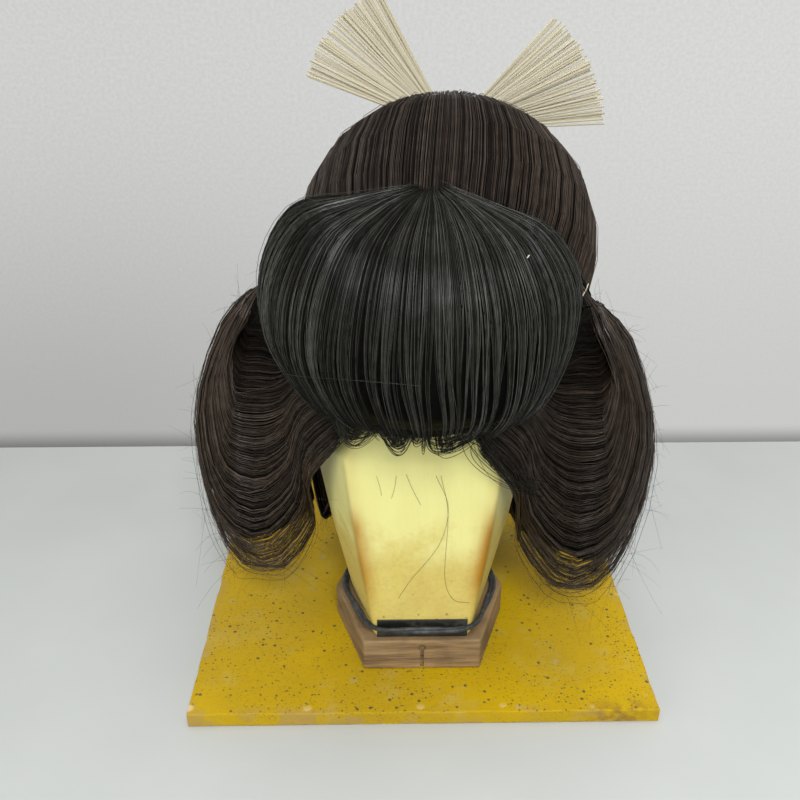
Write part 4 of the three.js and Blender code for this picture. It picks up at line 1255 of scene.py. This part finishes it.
def makeLoop(material):
    front, widest, frontY, backY = post["sections"][0][1:]
    nose = frontY - label["thickness"] - loop["radius"] - loop["frontGap"]
    corners = hexagon(front + loop["ledge"], widest + 2 * loop["ledge"], nose, backY + loop["ledge"])
    ring = roundedRing(corners, loop["rounding"], loop["perSide"], loop["perCorner"])
    rest = board["thickness"] + seatGap + foot["height"] + loop["radius"] + seatGap
    phase = np.linspace(0, math.tau, len(ring), endpoint=False)
    lift = rest + loop["frontLift"] * smooth(-ring[:, 1], 0, -nose)
    outward = unit(ring - ring.mean(0))
    cords = []
    for turn in (0.0, math.pi):
        swing = loop["twists"] * phase + turn
        plan = ring + outward * (loop["apart"] * np.cos(swing))[:, None]
        cords.append(np.column_stack([plan, lift + loop["apart"] * np.sin(swing) + loop["clear"]]))
    strands = onStand(np.array(cords)), 1.0, 0.5
    strandPiece("rubber_loop", strands, loop["cord"], material, loop["sides"], True,
                ("rubber_loop",))


# Fallen hairs on the face of the post: x from the middle and rise above the foot
fallenHairs = {
    "thickness": 0.1, "points": 24, "stand": 0.5, "tint": 0.3,
    "routes": [[(7, 126), (15, 103), (10, 75), (-8, 47), (-16, 32)],
               [(10, 126), (15, 98), (14, 50), (20, 31), (31, 28)],
               [(-11, 127), (-7, 116), (-2, 105)],
               [(-29, 126), (-27, 118), (-26, 112)],
               [(-17, 126), (-18, 118), (-20, 110)]],
}


def makeFallenHairs(material):
    rises, fronts = [s[0] for s in post["sections"]], [s[3] for s in post["sections"]]
    t = np.linspace(0, 1, fallenHairs["points"])
    paths = []
    for route in fallenHairs["routes"]:
        stations = np.array([(x, 0, rise) for x, rise in route], float)[:, None].repeat(len(t), 1)
        path = alongCurve(stations, t)
        path[:, 1] = np.interp(path[:, 2], rises, fronts) - fallenHairs["stand"]
        path[:, 2] += postBottom
        paths.append(path)
    strands = onStand(np.array(paths)), 1.0, fallenHairs["tint"]
    strandPiece("fallen_hairs", strands, fallenHairs["thickness"], material)


# Bits of white thread at the right gather and a fleck on the forelock, in wig millimetres
threads = {
    "thickness": 0.35, "sides": 6, "points": 8,
    "routes": [[(101.2, -8.0, 265.0), (100.4, -9.5, 263.0), (99.8, -9.5, 260.8)],
               [(99.4, -9.5, 260.4), (98.4, -11.0, 258.8), (97.4, -10.5, 257.4)],
               [(61.7, -59.9, 296.4), (62.2, -59.6, 297.1), (62.8, -59.2, 297.9)]],
}
# One hair that has come loose across the face of the forelock
crossingHair = {"across": (0.17, 0.53), "t": (0.56, 0.5), "bow": 0.6, "stand": 2.6,
                "points": 30, "thickness": 0.08, "tint": 0.7}


def makeThreads(paper, hair):
    t = np.linspace(0, 1, threads["points"])
    paths = [alongCurve(np.array(route, float)[:, None].repeat(len(t), 1), t) for route in threads["routes"]]
    strands = onBoard(np.array(paths)), 1.0, 1.0
    strandPiece("white_threads", strands, threads["thickness"], paper, threads["sides"])
    share = np.linspace(0, 1, crossingHair["points"])
    across = lerp(*crossingHair["across"], share)
    t = lerp(*crossingHair["t"], np.sin(share * math.pi * crossingHair["bow"]))
    path = forelockAt(across, t) + normalAt(forelockAt, -1, across, t) * crossingHair["stand"]
    strands = onBoard(path)[None], 1.0, crossingHair["tint"]
    strandPiece("loose_hair", strands, crossingHair["thickness"], hair)


# The table ends just behind the board, and the wall stands clear of every view of the back
room = {"tableReach": 20.0, "tableEnd": 0.212, "tableDeep": 0.03, "tableTop": -0.0002,
        "wallY": 1.6, "wallReach": 8.0}


def stagePiece(name, corners, faces, material):
    mesh = bpy.data.meshes.new(name)
    mesh.from_pydata(corners, [], faces)
    mesh.materials.append(material)
    piece = bpy.data.objects.new(name, mesh)
    collection.objects.link(piece)


def makeRoom(table, wall):
    r, end, low, top = room["tableReach"], room["tableEnd"], -room["tableDeep"], room["tableTop"]
    plan = [(-r, -r), (r, -r), (r, end), (-r, end)]
    corners = [(x, y, low) for x, y in plan] + [(x, y, top) for x, y in plan]
    sides = [(k, (k + 1) % 4, 4 + (k + 1) % 4, 4 + k) for k in range(4)]
    stagePiece("table", corners, [(3, 2, 1, 0), (4, 5, 6, 7), *sides], table)
    w, y = room["wallReach"], room["wallY"]
    stagePiece("wall", [(-w, y, -w), (w, y, -w), (w, y, w), (-w, y, w)], [(0, 1, 2, 3)], wall)


addCamera(photoView)
addLights()
makeRoom(tableFinish(), wallFinish())
print("room ready")
makeBoard(boardFinish())
softenedNode("foot", foot, footFinish())
softenedNode("label", label, labelFinish())
makePost(postFinish())
makeLoop(elasticFinish())
print("stand ready")
crownHair, forelockHair, wingHair = (hairFinish(n) for n in ("crown_hair", "forelock_hair", "wing_hair"))
packedHair = packedFinish()
makeCrown(crownHair, packedHair)
makeForelock(forelockHair, packedHair)
makeWings(wingHair, packedHair)
makeNape(wingHair, packedHair)
makeKnot(crownHair, packedHair)
makeFallenHairs(wingHair)
print("hair ready")
paper = paperFinish()
makeTie(paper)
makeFans(paper)
makeThreads(paper, forelockHair)
print("paper cords ready")

triangles = {o.name: sum(len(p.vertices) - 2 for p in o.data.polygons) for o in collection.all_objects
             if o.type == "MESH" and not o.hide_render}
print("triangles", sum(triangles.values()), "largest", max(triangles.values()))
